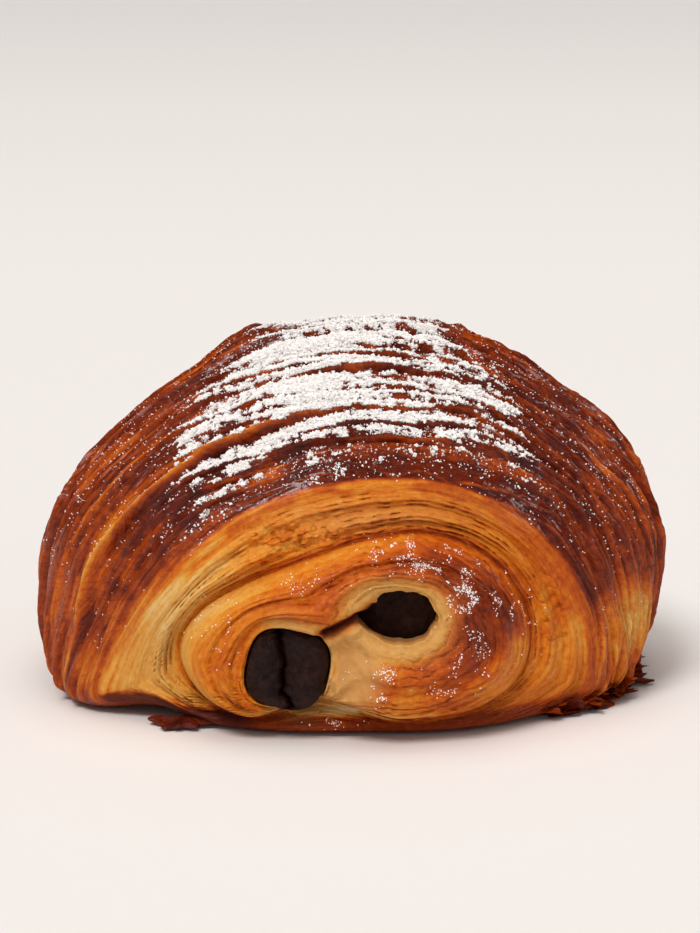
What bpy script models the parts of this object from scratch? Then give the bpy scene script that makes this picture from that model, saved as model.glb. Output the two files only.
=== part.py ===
"""A rolled, laminated chocolate pastry with two chocolate sticks that run through it from end to end.

The roll lies on Z = 0 with its sticks along Y. Its front end, with the spiral of dough, looks along -Y.
Every size is in metres.
"""

import math

import bmesh
import bpy
import numpy as np

# The loaf, a rounded form that the dough fills out to.
WIDTH = 0.1000
LENGTH = 0.0905
HEIGHT = 0.0570
WIDEST_HEIGHT = 0.0180  # the flanks and the ends stand out furthest here
TUCK_DEPTH = 0.0310  # how far down the flanks would curve if the tray didn't stop them
SOLE_LIFT = 0.0002  # the soft lower edge is cut off here, which leaves the sole flat
SOLE_ROUNDING = 22.0  # higher is a sharper edge all round the sole
SPINE = np.array([0.0060, 0.0, 0.0190])  # the centre that the dough swells from

# Where the loaf leaves its smooth form: direction from the spine, reach and spread in degrees.
SWELLINGS = (
    {"towards": (-0.80, 0.00, 0.60), "reach": -0.0038, "spread": 25.0},  # slack left shoulder
    {"towards": (0.35, 0.05, 0.94), "reach": 0.0004, "spread": 20.0},  # full right shoulder
    {"towards": (0.72, 0.00, 0.69), "reach": -0.0012, "spread": 16.0},  # and its slope
    {"towards": (-0.56, 0.10, 0.82), "reach": 0.0020, "spread": 9.0},  # blister on the crown
    {"towards": (-0.85, -0.42, -0.33), "reach": 0.0042, "spread": 11.0},  # front foot of the last turn
    {"towards": (-0.87, 0.38, -0.31), "reach": 0.0038, "spread": 13.0},  # its back foot
    {"towards": (0.94, -0.12, -0.32), "reach": -0.0040, "spread": 15.0},  # right flank tucks in
)
LUMP_SIZE = 0.0150  # dough swells unevenly, in lumps of about this size
LUMP_REACH = 0.0007

# The end face, as (X, Z) points. The crust line is where the cut layers give way to baked crust.
CRUST_LINE = (
    (-0.0386, 0.0027), (-0.0362, 0.0113), (-0.0307, 0.0202), (-0.0245, 0.0276), (-0.0177, 0.0331),
    (-0.0095, 0.0369), (-0.0006, 0.0387), (0.0083, 0.0389), (0.0158, 0.0375), (0.0233, 0.0339),
    (0.0295, 0.0284), (0.0342, 0.0211), (0.0371, 0.0126), (0.0367, 0.0040), (0.0300, 0.0009),
    (0.0150, 0.0008), (0.0000, 0.0008), (-0.0150, 0.0008), (-0.0300, 0.0009),
)  # fmt: skip
# The inner turn of dough, which is wrapped round both sticks.
TURN_LINE = (
    (-0.0163, 0.0028), (-0.0223, 0.0050), (-0.0260, 0.0100), (-0.0258, 0.0150), (-0.0224, 0.0195),
    (-0.0175, 0.0228), (-0.0117, 0.0256), (-0.0050, 0.0284), (0.0010, 0.0304), (0.0081, 0.0314),
    (0.0149, 0.0303), (0.0209, 0.0268), (0.0250, 0.0215), (0.0266, 0.0150), (0.0248, 0.0088),
    (0.0190, 0.0046), (0.0121, 0.0031), (0.0060, 0.0031), (0.0007, 0.0048), (-0.0039, 0.0060),
    (-0.0083, 0.0050), (-0.0117, 0.0038),
)  # fmt: skip
TURN_BULGE = 0.0028  # the inner turn stands out of the loaf's end
TURN_SHOULDER = 0.0050  # and rounds over into its seam across this width
SHOULDER_WIDENS = 1.3  # by this share where the seam closes
SEAM_DEPTH = 0.0036  # the valley between the inner turn and the last one
SEAM_WIDTH = 0.0020
SEAM_INNER_WIDTH = 0.0010
SEAM_LEAN = 0.9  # the seam is open on the turn's left and top, and closes towards its lower right
SEAM_CLOSED, SEAM_OPEN = -0.012, 0.022
SEAM_LEAST = 0.35
CRUST_OVERHANG = 0.0011  # the cut layers lie this far behind the crust's edge
CRUST_EDGE_WIDTH = 0.0030
LIP_DEPTH = 0.0026  # the dough rounds over into each stick's hole
SLIT = ((-0.0045, 0.0172), (0.0010, 0.0203))  # where the dough's inner end closes on the turn
SLIT_DEPTH = 0.0030
SLIT_WIDTH = 0.0009
TONGUE = {"at": (0.0040, 0.0095), "reach": 0.0018, "spread": 0.0046}  # knob on the dough's inner end
VALLEY = {"at": (-0.0014, 0.0138), "reach": -0.0024, "spread": 0.0036}  # hollow between the knob and the sticks
LAYERS_IN_TURN = 3
LAYERS_OUTSIDE = 3
LAYER_STEP = 0.0005

# The crust, in overlapping folds that run over the roll from foot to foot.
FOLDS = 6  # from the crust line to the widest hoop
FOLD_STEP = 0.0018
FOLD_WANDER = 0.60  # in folds
SHEET_HOOP = 0.28  # the top sheet lies over the left flank and ends here, short of the end face
SHEET_STEP = 0.0018
SHEET_WANDER = 0.03
SHEET_EDGE = 0.016
SHEET_THINS = 0.22  # it has blended into the crust this far on
SHEET_FOOT = (0.0040, 0.0200)  # and it has sunk into the foot between these heights
NOOK = {"at": (-0.0320, -0.0310), "lift": 0.0020, "spread": 0.0062}  # the last turn lifts off the tray here

# The sticks: centre, half width and half height of each, and how far each end lies from the middle.
STICKS = {
    "stick_left": {
        "at": (-0.0099, 0.0116), "half": (0.0062, 0.0064), "tilt": -12.0,
        "front": -0.0466, "back": 0.0446, "squareness": 2.9, "crack": 0.0024, "dome": 0.0022, "lip": 0.0034,
    },
    "stick_right": {
        "at": (0.0063, 0.0198), "half": (0.0062, 0.0046), "tilt": -6.0,
        "front": -0.0428, "back": 0.0428, "squareness": 2.3, "crack": 0.0, "dome": 0.0012, "lip": 0.0018,
    },
}  # fmt: skip
STICK_GAP = 0.0003
STICK_SPOKES, DOME_RINGS, SHAFT_RINGS = 32, 10, 3
SHAFT_INSET = 0.0080  # from the middle of each end to the first ring of the straight part
# The split that runs down a stick's end, in a shallow valley between two rounded halves.
CRACK = {"at": -0.0004, "lean": -0.09, "width": 0.0008, "valley": 0.0008, "reach": 0.0016}
CRACK_WANDER = 0.0002
CRACK_WAVES = 1500.0  # radians to the metre

# Loose scales of burnt crust round the sole: centre, turn and tilt in degrees, length, width, thickness.
SCALES = (
    {"at": (-0.0262, -0.0352, 0.0009), "turn": -12.0, "tilt": 6.0, "size": (0.0090, 0.0050, 0.0011)},
    {"at": (0.0420, 0.0030, 0.0042), "turn": 12.0, "tilt": 24.0, "size": (0.0100, 0.0060, 0.0013)},
    {"at": (0.0400, -0.0075, 0.0022), "turn": 8.0, "tilt": 14.0, "size": (0.0110, 0.0062, 0.0014)},
    {"at": (0.0384, -0.0165, 0.0016), "turn": -6.0, "tilt": 10.0, "size": (0.0110, 0.0058, 0.0014)},
    {"at": (0.0335, -0.0240, 0.0012), "turn": -20.0, "tilt": 6.0, "size": (0.0100, 0.0052, 0.0013)},
    {"at": (0.0280, 0.0325, 0.0011), "turn": 130.0, "tilt": 5.0, "size": (0.0100, 0.0050, 0.0012)},
)
SCALE_SPOKES = 14
SCALE_RINGS = ((0.55, 0.5), (1.0, 0.12), (1.0, -0.12), (0.55, -0.5))  # shares of the size and the thickness

# The mesh: rings from the front pole to the back pole, and spokes round the spine.
FACE_RINGS, CRUST_RINGS, BACK_CRUST_RINGS, BACK_FACE_RINGS = 25, 22, 15, 12
UPPER_SPOKES, SOLE_SPOKES = 56, 18
SOLE_FROM, SOLE_TO = 200.0, 337.0  # degrees round the spine, from +X
POLE_DIP = 0.075  # radians from the pole to the first ring, which lies within the right stick's hole
END_FADES = (0.80, 1.02)  # the end face's relief gives way to the crust's here, as a share of the crust line
TRAY_FADES = (0.0006, 0.0040)  # all relief dies away towards the tray, between these heights


def smooth_step(value, low, high):
    share = np.clip((value - low) / (high - low), 0.0, 1.0)
    return share * share * (3.0 - 2.0 * share)


def round_over(share):
    """A quarter circle, from 0 at its foot to 1 at its top."""
    return np.sqrt(1.0 - (1.0 - np.clip(share, 0.0, 1.0)) ** 2)


def lattice_value(cell, seed):
    """A repeatable number from -1 to 1 for each whole-numbered cell."""
    mixed = cell[..., 0] * 374761393 + cell[..., 1] * 668265263 + cell[..., 2] * 2147483647 + seed * 1274126177
    mixed = (mixed ^ (mixed >> 13)) * 1103515245 & 0x7FFFFFFF
    mixed = (mixed ^ (mixed >> 16)) * 69069 & 0x7FFFFFFF
    return mixed / 0x3FFFFFFF - 1.0


def noise(points, seed):
    """Smooth noise from -1 to 1 with one lump to each unit."""
    cell = np.floor(points).astype(np.int64)
    share = points - cell
    share = share * share * (3.0 - 2.0 * share)
    total = np.zeros(points.shape[:-1])
    for corner in np.ndindex(2, 2, 2):
        weight = np.prod(np.where(corner, share, 1.0 - share), axis=-1)
        total += weight * lattice_value(cell + np.array(corner), seed)
    return total


def smooth_loop(points, steps=12):
    """A closed curve through the points, as an array of (X, Z)."""
    knots = np.array(points)
    before, after, beyond = np.roll(knots, 1, 0), np.roll(knots, -1, 0), np.roll(knots, -2, 0)
    share = (np.arange(steps) / steps)[None, :, None]
    curve = 0.5 * (
        2.0 * knots[:, None]
        + (after - before)[:, None] * share
        + (2.0 * before - 5.0 * knots + 4.0 * after - beyond)[:, None] * share**2
        + (3.0 * knots - before - 3.0 * after + beyond)[:, None] * share**3
    )
    return curve.reshape(-1, 2)


def distance_to_loop(x, z, loop):
    """How far each point lies outside a closed curve. Inside it the distance is negative."""
    shape = x.shape
    place = np.stack([x.ravel(), z.ravel()], axis=-1)[:, None]
    start, end = loop[None], np.roll(loop, -1, axis=0)[None]
    along = end - start
    share = np.clip(((place - start) * along).sum(-1) / (along * along).sum(-1), 0.0, 1.0)
    reach = np.linalg.norm(place - start - share[..., None] * along, axis=-1).min(axis=1)
    rises = (start[..., 1] > place[..., 1]) != (end[..., 1] > place[..., 1])
    slope = along[..., 0] / np.where(along[..., 1] == 0.0, 1e-12, along[..., 1])
    crossing = rises & (place[..., 0] < start[..., 0] + slope * (place[..., 1] - start[..., 1]))
    inside = crossing.sum(axis=1) % 2 == 1
    return np.where(inside, -reach, reach).reshape(shape)


def distance_to_slit(x, z):
    start, end = np.array(SLIT[0]), np.array(SLIT[1])
    along = end - start
    share = np.clip(((x - start[0]) * along[0] + (z - start[1]) * along[1]) / (along @ along), 0.0, 1.0)
    return np.hypot(x - start[0] - share * along[0], z - start[1] - share * along[1])


def distance_to_stick(x, z, stick):
    """How far each point of an end face lies outside a stick's rounded outline, near enough."""
    turn = math.radians(stick["tilt"])
    across, up = x - stick["at"][0], z - stick["at"][1]
    side = (across * math.cos(turn) + up * math.sin(turn)) / stick["half"][0]
    rise = (up * math.cos(turn) - across * math.sin(turn)) / stick["half"][1]
    size = (np.abs(side) ** stick["squareness"] + np.abs(rise) ** stick["squareness"]) ** (1.0 / stick["squareness"])
    return (size - 1.0) * min(stick["half"])


def loaf_reach(direction):
    """The distance from the spine to the loaf's surface in each direction."""
    crown = HEIGHT - WIDEST_HEIGHT
    near, far = np.zeros(direction.shape[:-1]), np.full(direction.shape[:-1], WIDTH)
    for _ in range(26):
        middle = (near + far) / 2.0
        place = SPINE + direction * middle[..., None]
        rise = place[..., 2] - WIDEST_HEIGHT
        upright = np.where(rise > 0.0, (rise / crown) ** 2, (np.abs(rise) / TUCK_DEPTH) ** 3)
        within = (place[..., 0] / WIDTH * 2.0) ** 2 + (place[..., 1] / LENGTH * 2.0) ** 2 + upright < 1.0
        near, far = np.where(within, middle, near), np.where(within, far, middle)
    reach = near
    for swelling in SWELLINGS:
        centre = np.array(swelling["towards"]) / np.linalg.norm(swelling["towards"])
        angle = np.degrees(np.arccos(np.clip(direction @ centre, -1.0, 1.0)))
        reach = reach + swelling["reach"] * np.exp(-((angle / swelling["spread"]) ** 2))
    reach = reach + LUMP_REACH * noise((SPINE + direction * near[..., None]) / LUMP_SIZE, 1)
    to_tray = SPINE[2] / np.maximum(-direction[..., 2], 1e-3)
    return (reach**-SOLE_ROUNDING + to_tray**-SOLE_ROUNDING) ** (-1.0 / SOLE_ROUNDING)


def spoke_angles():
    """Angles round the spine, close together over the roll and further apart across the sole."""
    upper = np.linspace(SOLE_TO - 360.0, SOLE_FROM, UPPER_SPOKES, endpoint=False)
    sole = np.linspace(SOLE_FROM, SOLE_TO, SOLE_SPOKES, endpoint=False)
    return np.radians(np.concatenate([upper, sole]))


def direction_of(spoke, dip):
    """Unit vectors at an angle round the spine and an angle back from the front."""
    spoke, dip = np.broadcast_arrays(spoke, dip)
    return np.stack([np.sin(dip) * np.cos(spoke), -np.cos(dip), np.sin(dip) * np.sin(spoke)], axis=-1)


def crust_dip(spokes):
    """The angle back from the front at which the crust line crosses each spoke."""
    line = smooth_loop(CRUST_LINE) - SPINE[[0, 2]]
    turn = np.arctan2(line[:, 1], line[:, 0])
    order = np.argsort(turn)
    radius = np.interp(np.angle(np.exp(1j * spokes)), turn[order], np.hypot(*line[order].T), period=2.0 * math.pi)
    dips = np.linspace(0.02, math.pi / 2.0, 300)
    spread = loaf_reach(direction_of(spokes[:, None], dips[None])) * np.sin(dips)
    rising = np.maximum.accumulate(spread, axis=1)
    return np.array([np.interp(r, row, dips) for r, row in zip(radius, rising)])


def seam_openness(x, z):
    """1 on the inner turn's left and top, where its seam is open, and least where it closes."""
    return SEAM_LEAST + (1.0 - SEAM_LEAST) * smooth_step(z - SEAM_LEAN * x, SEAM_CLOSED, SEAM_OPEN)


def bump(x, z, mark):
    """A smooth swelling of the end face, or a hollow in it."""
    away = np.hypot(x - mark["at"][0], z - mark["at"][1]) / mark["spread"]
    return mark["reach"] * np.exp(-(away**2))


def end_relief(x, z):
    """How far the end face stands out of the loaf, with the spiral's turns, seams and holes."""
    turn = distance_to_loop(x, z, smooth_loop(TURN_LINE))
    crust = -distance_to_loop(x, z, smooth_loop(CRUST_LINE))
    holes = [distance_to_stick(x, z, stick) for stick in STICKS.values()]
    clear = np.maximum(np.minimum.reduce(holes), 0.0)
    inside = clear / np.maximum(clear - np.minimum(turn, 0.0), 1e-6)
    outside = np.maximum(turn, 0.0) / np.maximum(np.maximum(turn, 0.0) + np.maximum(crust, 0.0), 1e-6)
    layer = np.where(turn < 0.0, inside * LAYERS_IN_TURN, outside * LAYERS_OUTSIDE)
    openness = seam_openness(x, z)
    relief = TURN_BULGE * round_over(-turn / (TURN_SHOULDER * (1.0 + SHOULDER_WIDENS * (1.0 - openness))))
    relief -= CRUST_OVERHANG * smooth_step(crust, 0.0, CRUST_EDGE_WIDTH) * smooth_step(turn, 0.0, TURN_SHOULDER)
    seam_width = np.where(turn < 0.0, SEAM_INNER_WIDTH, SEAM_WIDTH)
    relief -= SEAM_DEPTH * openness * np.exp(-((turn / seam_width) ** 2))
    rounded = [round_over(np.maximum(hole, 0.0) / stick["lip"]) for hole, stick in zip(holes, STICKS.values())]
    relief -= LIP_DEPTH * (1.0 - np.minimum.reduce(rounded))
    relief -= SLIT_DEPTH * np.exp(-((distance_to_slit(x, z) / SLIT_WIDTH) ** 2))
    relief += bump(x, z, TONGUE) + bump(x, z, VALLEY)
    relief += LAYER_STEP * np.cos(2.0 * math.pi * layer) * smooth_step(np.abs(turn), 0.0, SEAM_WIDTH)
    return relief


def fold_relief(spoke, hoop, place):
    """Overlapping folds of crust. Each one sinks from its front lip until the next one lies over it."""
    along = np.stack([np.cos(spoke) * 1.6, np.sin(spoke) * 1.6, hoop * 1.5], axis=-1)
    phase = hoop * FOLDS + FOLD_WANDER * noise(along, 2)
    share = phase - np.floor(phase)
    lip = smooth_step(share, 0.0, 0.2) - share
    strength = 0.55 + 0.45 * noise(place / 0.011, 3)
    return FOLD_STEP * strength * lip


def sheet_relief(spoke, hoop, place):
    """The step up to the top sheet of dough, on the left flank."""
    past = hoop - SHEET_HOOP - SHEET_WANDER * noise(place / 0.012, 4)
    on_flank = smooth_step(np.cos(spoke), -0.2, -0.6) * smooth_step(place[..., 2], *SHEET_FOOT)
    step = smooth_step(past, -SHEET_EDGE, SHEET_EDGE) * np.exp(-np.maximum(past, 0.0) / SHEET_THINS)
    return SHEET_STEP * on_flank * step


def loaf_surface():
    """The dough's outer surface as rings of points, from the front pole to the back one."""
    spokes = spoke_angles()
    edge = crust_dip(spokes)[None]
    half_turn = math.pi / 2.0

    def rings(start, end, count):
        return start + (end - start) * (np.arange(count) / count)[:, None]

    dips = np.concatenate(
        [
            rings(POLE_DIP, edge, FACE_RINGS),
            rings(edge, half_turn, CRUST_RINGS),
            rings(half_turn, math.pi - edge, BACK_CRUST_RINGS),
            rings(math.pi - edge, math.pi - POLE_DIP, BACK_FACE_RINGS),
        ]
    )
    spoke = np.broadcast_to(spokes[None], dips.shape)
    direction = direction_of(spoke, dips)
    place = SPINE + direction * loaf_reach(direction)[..., None]
    from_front = np.minimum(dips, math.pi - dips)
    hoop = (from_front - edge) / (half_turn - edge)
    on_end = 1.0 - smooth_step(from_front / edge, *END_FADES)
    hoop_through = np.where(dips < half_turn, hoop, 2.0 - hoop)
    end = end_relief(place[..., 0], place[..., 2])
    crust = fold_relief(spoke, hoop_through, place) + sheet_relief(spoke, hoop_through, place)
    crust = crust * smooth_step(hoop, -0.05, 0.12)
    facing = np.zeros_like(direction)
    facing[..., 1] = np.sign(direction[..., 1])
    outward = facing * on_end[..., None] + direction * (1.0 - on_end[..., None])
    off_tray = smooth_step(place[..., 2], *TRAY_FADES)
    relief = (end * on_end + crust) * off_tray
    place = place + outward * relief[..., None]
    return settle(place)


def settle(place):
    """Lifts the nook under the last turn, and flattens the sole on the tray."""
    gap = np.hypot(place[..., 0] - NOOK["at"][0], place[..., 1] - NOOK["at"][1]) / NOOK["spread"]
    lift = NOOK["lift"] * np.exp(-(gap**2)) * (1.0 - smooth_step(place[..., 2], 0.0, 0.008))
    height = (place[..., 2] - SOLE_LIFT) * HEIGHT / (HEIGHT - SOLE_LIFT)
    place[..., 2] = np.maximum(height, 0.0) + lift
    return place


def mesh_object(name, points, faces):
    mesh = bpy.data.meshes.new(name)
    mesh.from_pydata([tuple(p) for p in points], [], faces)
    mesh.validate()
    body = bmesh.new()
    body.from_mesh(mesh)
    bmesh.ops.recalc_face_normals(body, faces=body.faces)
    body.to_mesh(mesh)
    body.free()
    made = bpy.data.objects.new(name, mesh)
    bpy.context.scene.collection.objects.link(made)
    mesh.shade_smooth()
    return made


def closed_rings(name, rings, first, last):
    """An object whose rings of points are joined in order and closed by one point at each end."""
    count, spokes = rings.shape[:2]
    points = [first, *rings.reshape(-1, 3), last]
    faces = []
    for spoke in range(spokes):
        beside = (spoke + 1) % spokes
        faces.append((0, 1 + spoke, 1 + beside))
        faces.append((len(points) - 1, 1 + (count - 1) * spokes + beside, 1 + (count - 1) * spokes + spoke))
        for ring in range(count - 1):
            low, high = 1 + ring * spokes, 1 + (ring + 1) * spokes
            faces.append((low + spoke, high + spoke, high + beside, low + beside))
    return mesh_object(name, points, faces)


def stick_outline(stick, grow, spokes):
    """A stick's rounded outline at full size as (X, Z) points about its own centre."""
    angle = np.linspace(0.0, 2.0 * math.pi, spokes, endpoint=False)
    cosine, sine, power = np.cos(angle), np.sin(angle), stick["squareness"]
    radius = (np.abs(cosine) ** power + np.abs(sine) ** power) ** (-1.0 / power)
    side, rise = (stick["half"][0] + grow) * radius * cosine, (stick["half"][1] + grow) * radius * sine
    turn = math.radians(stick["tilt"])
    return side * math.cos(turn) - rise * math.sin(turn), side * math.sin(turn) + rise * math.cos(turn)


def crack_depth(x, z, stick):
    """How far the split down the end of a stick, and the valley that it lies in, sink into it."""
    if not stick["crack"]:
        return 0.0 * x
    off = x - CRACK["at"] - CRACK["lean"] * z - CRACK_WANDER * np.sin(z * CRACK_WAVES)
    split = stick["crack"] * np.exp(-((off / CRACK["width"]) ** 2))
    return split + CRACK["valley"] * np.exp(-((off / CRACK["reach"]) ** 2))


def build_stick(name, stick):
    """One chocolate stick, with melted round ends."""
    side, rise = stick_outline(stick, -STICK_GAP, STICK_SPOKES)
    shares = np.sin(np.arange(1, DOME_RINGS + 1) / DOME_RINGS * math.pi / 2.0)
    rings = []
    for end, outward in ((stick["front"], -1.0), (stick["back"], 1.0)):
        cap = []
        for share in shares:
            x, z = side * share, rise * share
            dome = stick["dome"] * (math.sqrt(max(0.0, 1.0 - share**2)) - 1.0)
            depth = crack_depth(x, z, stick) * math.sqrt(max(0.0, 1.0 - share**2))
            cap.append(np.stack([x, end + outward * (dome - depth), z], axis=-1))
        rings.append(cap if outward < 0.0 else cap[::-1])
    shaft = [
        np.stack([side, np.full(STICK_SPOKES, y), rise], axis=-1)
        for y in np.linspace(stick["front"] + SHAFT_INSET, stick["back"] - SHAFT_INSET, SHAFT_RINGS)
    ]
    stack = np.array(rings[0] + shaft + rings[1])
    dip = float(crack_depth(np.float64(0.0), np.float64(0.0), stick))
    tips = [np.array([0.0, stick["front"] + dip, 0.0]), np.array([0.0, stick["back"] - dip, 0.0])]
    made = closed_rings(name, stack, *tips)
    made.location = (stick["at"][0], 0.0, stick["at"][1])
    return made


def build_hole(name, stick):
    """A cutter for the hole that a stick lies in."""
    side, rise = stick_outline(stick, 0.0, STICK_SPOKES)
    ends = [np.stack([side, np.full(STICK_SPOKES, y), rise], axis=-1) for y in (-LENGTH, LENGTH)]
    made = closed_rings(name, np.array(ends), (0.0, -LENGTH, 0.0), (0.0, LENGTH, 0.0))
    made.location = (stick["at"][0], 0.0, stick["at"][1])
    made.hide_render = True
    made.display_type = "WIRE"
    return made


def build_scale(index, scale):
    """One torn scale of crust: a thin plate with a ragged edge, thinner towards it."""
    angle = np.linspace(0.0, 2.0 * math.pi, SCALE_SPOKES, endpoint=False)
    ragged = 1.0 + 0.16 * np.sin(angle * 3.0 + index) + 0.12 * np.sin(angle * 5.0 + 2.0 * index)
    length, width, thickness = scale["size"]
    turn, tilt = math.radians(scale["turn"]), math.radians(scale["tilt"])
    rings = []
    for share, level in SCALE_RINGS:
        side, rise = length / 2.0 * ragged * share * np.cos(angle), width / 2.0 * ragged * share * np.sin(angle)
        height = thickness * level + side * math.sin(tilt)
        x, y = side * math.cos(turn) - rise * math.sin(turn), side * math.sin(turn) + rise * math.cos(turn)
        rings.append(np.stack([x, y, height], axis=-1) + np.array(scale["at"]))
    stack = np.array(rings)
    stack[..., 2] = np.maximum(stack[..., 2], 0.0)
    return closed_rings(f"scale_{index}", stack, stack[0].mean(axis=0), stack[-1].mean(axis=0))


def apply_boolean(target, operation, operands):
    """Joins a collection of shapes to the target, or cuts them from it, and removes them."""
    group = bpy.data.collections.new(operation.lower())
    bpy.context.scene.collection.children.link(group)
    for operand in operands:
        for owner in list(operand.users_collection):
            owner.objects.unlink(operand)
        group.objects.link(operand)
    modifier = target.modifiers.new(operation.lower(), "BOOLEAN")
    modifier.operation = operation
    modifier.operand_type = "COLLECTION"
    modifier.collection = group
    modifier.solver = "EXACT"
    graph = bpy.context.evaluated_depsgraph_get()
    mesh = bpy.data.meshes.new_from_object(target.evaluated_get(graph), depsgraph=graph)
    target.modifiers.remove(modifier)
    target.data = mesh
    for operand in operands:
        bpy.data.objects.remove(operand)
    bpy.data.collections.remove(group)


def finish(name, colour, roughness):
    material = bpy.data.materials.new(name)
    material.use_nodes = True
    shader = material.node_tree.nodes["Principled BSDF"]
    shader.inputs["Base Color"].default_value = (*colour, 1.0)
    shader.inputs["Roughness"].default_value = roughness
    shader.inputs["Metallic"].default_value = 0.0
    return material


def main():
    for old in list(bpy.data.objects):
        bpy.data.objects.remove(old)
    baked_dough = finish("baked_dough", (0.30, 0.09, 0.02), 0.45)
    dark_chocolate = finish("dark_chocolate", (0.022, 0.010, 0.008), 0.40)

    rings = loaf_surface()
    pole = rings[0].mean(axis=0), rings[-1].mean(axis=0)
    pastry = closed_rings("pastry", rings, *pole)
    apply_boolean(pastry, "UNION", [build_scale(i, scale) for i, scale in enumerate(SCALES)])
    apply_boolean(pastry, "DIFFERENCE", [build_hole(f"hole_{name}", stick) for name, stick in STICKS.items()])
    pastry.data.materials.clear()
    pastry.data.materials.append(baked_dough)
    for name, stick in STICKS.items():
        build_stick(name, stick).data.materials.append(dark_chocolate)


main()
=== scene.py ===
import math
from types import SimpleNamespace

import bpy
import numpy as np
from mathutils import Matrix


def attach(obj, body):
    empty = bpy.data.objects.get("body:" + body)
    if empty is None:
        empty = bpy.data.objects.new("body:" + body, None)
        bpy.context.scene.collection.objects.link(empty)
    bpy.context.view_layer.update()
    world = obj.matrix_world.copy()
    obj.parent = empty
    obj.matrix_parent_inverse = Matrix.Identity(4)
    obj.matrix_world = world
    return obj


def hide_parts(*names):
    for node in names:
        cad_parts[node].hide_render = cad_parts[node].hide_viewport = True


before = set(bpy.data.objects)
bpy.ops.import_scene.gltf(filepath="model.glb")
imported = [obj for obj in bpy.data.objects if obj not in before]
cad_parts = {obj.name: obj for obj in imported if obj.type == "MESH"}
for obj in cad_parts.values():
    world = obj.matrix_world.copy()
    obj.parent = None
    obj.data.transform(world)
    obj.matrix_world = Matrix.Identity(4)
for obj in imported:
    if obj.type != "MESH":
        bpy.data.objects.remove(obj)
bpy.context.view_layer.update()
print("frame loaded")

# The loaf that the dough fills out to, in metres. The solid model has the same form.
loaf = {
    "width": 0.1000,
    "length": 0.0905,
    "height": 0.0570,
    "widestHeight": 0.0180,
    "tuckDepth": 0.0310,
    "soleLift": 0.0002,
    "soleRounding": 22.0,
    "spine": (0.0060, 0.0, 0.0190),
    "lumpSize": 0.0150,
    "lumpReach": 0.0007,
    # direction from the spine, reach and spread in degrees
    "swellings": (
        ((-0.80, 0.00, 0.60), -0.0038, 25.0),
        ((0.35, 0.05, 0.94), 0.0004, 20.0),
        ((0.72, 0.00, 0.69), -0.0012, 16.0),
        ((-0.56, 0.10, 0.82), 0.0020, 9.0),
        ((-0.85, -0.42, -0.33), 0.0042, 11.0),
        ((-0.87, 0.38, -0.31), 0.0038, 13.0),
        ((0.94, -0.12, -0.32), -0.0040, 15.0),
    ),
    "nookAt": (-0.0320, -0.0310),
    "nookLift": 0.0020,
    "nookSpread": 0.0062,
}

# How finely each stretch of the dough is meshed. Each piece stays under 200,000 triangles.
meshing = {
    "upperSpokes": 440,
    "soleSpokes": 120,
    "faceRings": 168,
    "crustRings": 176,
    "backCrustRings": 96,
    "backFaceRings": 76,
    "soleFrom": 200.0,
    "soleTo": 337.0,
    "poleDip": 0.030,
}

# The cut end: its outlines as (X, Z) points, its seams and its layers, in metres.
cutEnd = {
    "crustLine": (
        (-0.0386, 0.0027), (-0.0362, 0.0113), (-0.0307, 0.0202), (-0.0245, 0.0276), (-0.0177, 0.0331),
        (-0.0095, 0.0369), (-0.0006, 0.0387), (0.0083, 0.0389), (0.0158, 0.0375), (0.0233, 0.0339),
        (0.0295, 0.0284), (0.0342, 0.0211), (0.0371, 0.0126), (0.0367, 0.0040), (0.0300, 0.0009),
        (0.0150, 0.0008), (0.0000, 0.0008), (-0.0150, 0.0008), (-0.0300, 0.0009),
    ),
    "turnLine": (
        (-0.0163, 0.0028), (-0.0223, 0.0050), (-0.0260, 0.0100), (-0.0258, 0.0150), (-0.0224, 0.0195),
        (-0.0175, 0.0228), (-0.0117, 0.0256), (-0.0050, 0.0284), (0.0010, 0.0304), (0.0081, 0.0314),
        (0.0149, 0.0303), (0.0209, 0.0268), (0.0250, 0.0215), (0.0266, 0.0150), (0.0248, 0.0088),
        (0.0190, 0.0046), (0.0121, 0.0031), (0.0060, 0.0031), (0.0007, 0.0048), (-0.0039, 0.0060),
        (-0.0083, 0.0050), (-0.0117, 0.0038),
    ),
    "turnBulge": 0.0028,
    "turnShoulder": 0.0050,
    "seamDepth": 0.0036,
    "seamWidth": 0.0020,
    "seamInnerWidth": 0.0010,
    "crustOverhang": 0.0011,
    "crustEdgeWidth": 0.0030,
    "lipDepth": 0.0026,
    "slit": ((-0.0045, 0.0172), (0.0026, 0.0210)),
    "slitDepth": 0.0030,
    "slitWidth": 0.0009,
    "tongueAt": (0.0040, 0.0095),
    "tongueReach": 0.0018,
    "tongueSpread": 0.0046,
    "valleyAt": (-0.0014, 0.0138),
    "valleyDepth": 0.0024,
    "valleySpread": 0.0036,
    "layersInTurn": 3,
    "layersOutside": 3,
    "layerStep": 0.0005,
    "pitDepth": 0.0070,
}

# The crust's folds, and the ribbons and crackle in their glaze, in metres.
crustFolds = {
    "folds": 6,
    "foldStep": 0.0018,
    "foldWander": 0.60,
    "sheetHoop": 0.28,
    "sheetStep": 0.0018,
    "hoopLength": 0.046,
    "ribbonWidth": 0.0031,
    "ribbonStep": 0.00120,
    "threadWidth": 0.00110,
    "threadStep": 0.00055,
    "crackleSize": 0.0017,
    "crackleStep": 0.00010,
    "crackleWidth": 0.16,
    "blisterStep": 0.00024,
    "sink": 0.0005,
    "lipRise": 0.0005,
    "lipUndercut": 0.0004,
    "lipWidth": 0.012,
}

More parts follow.
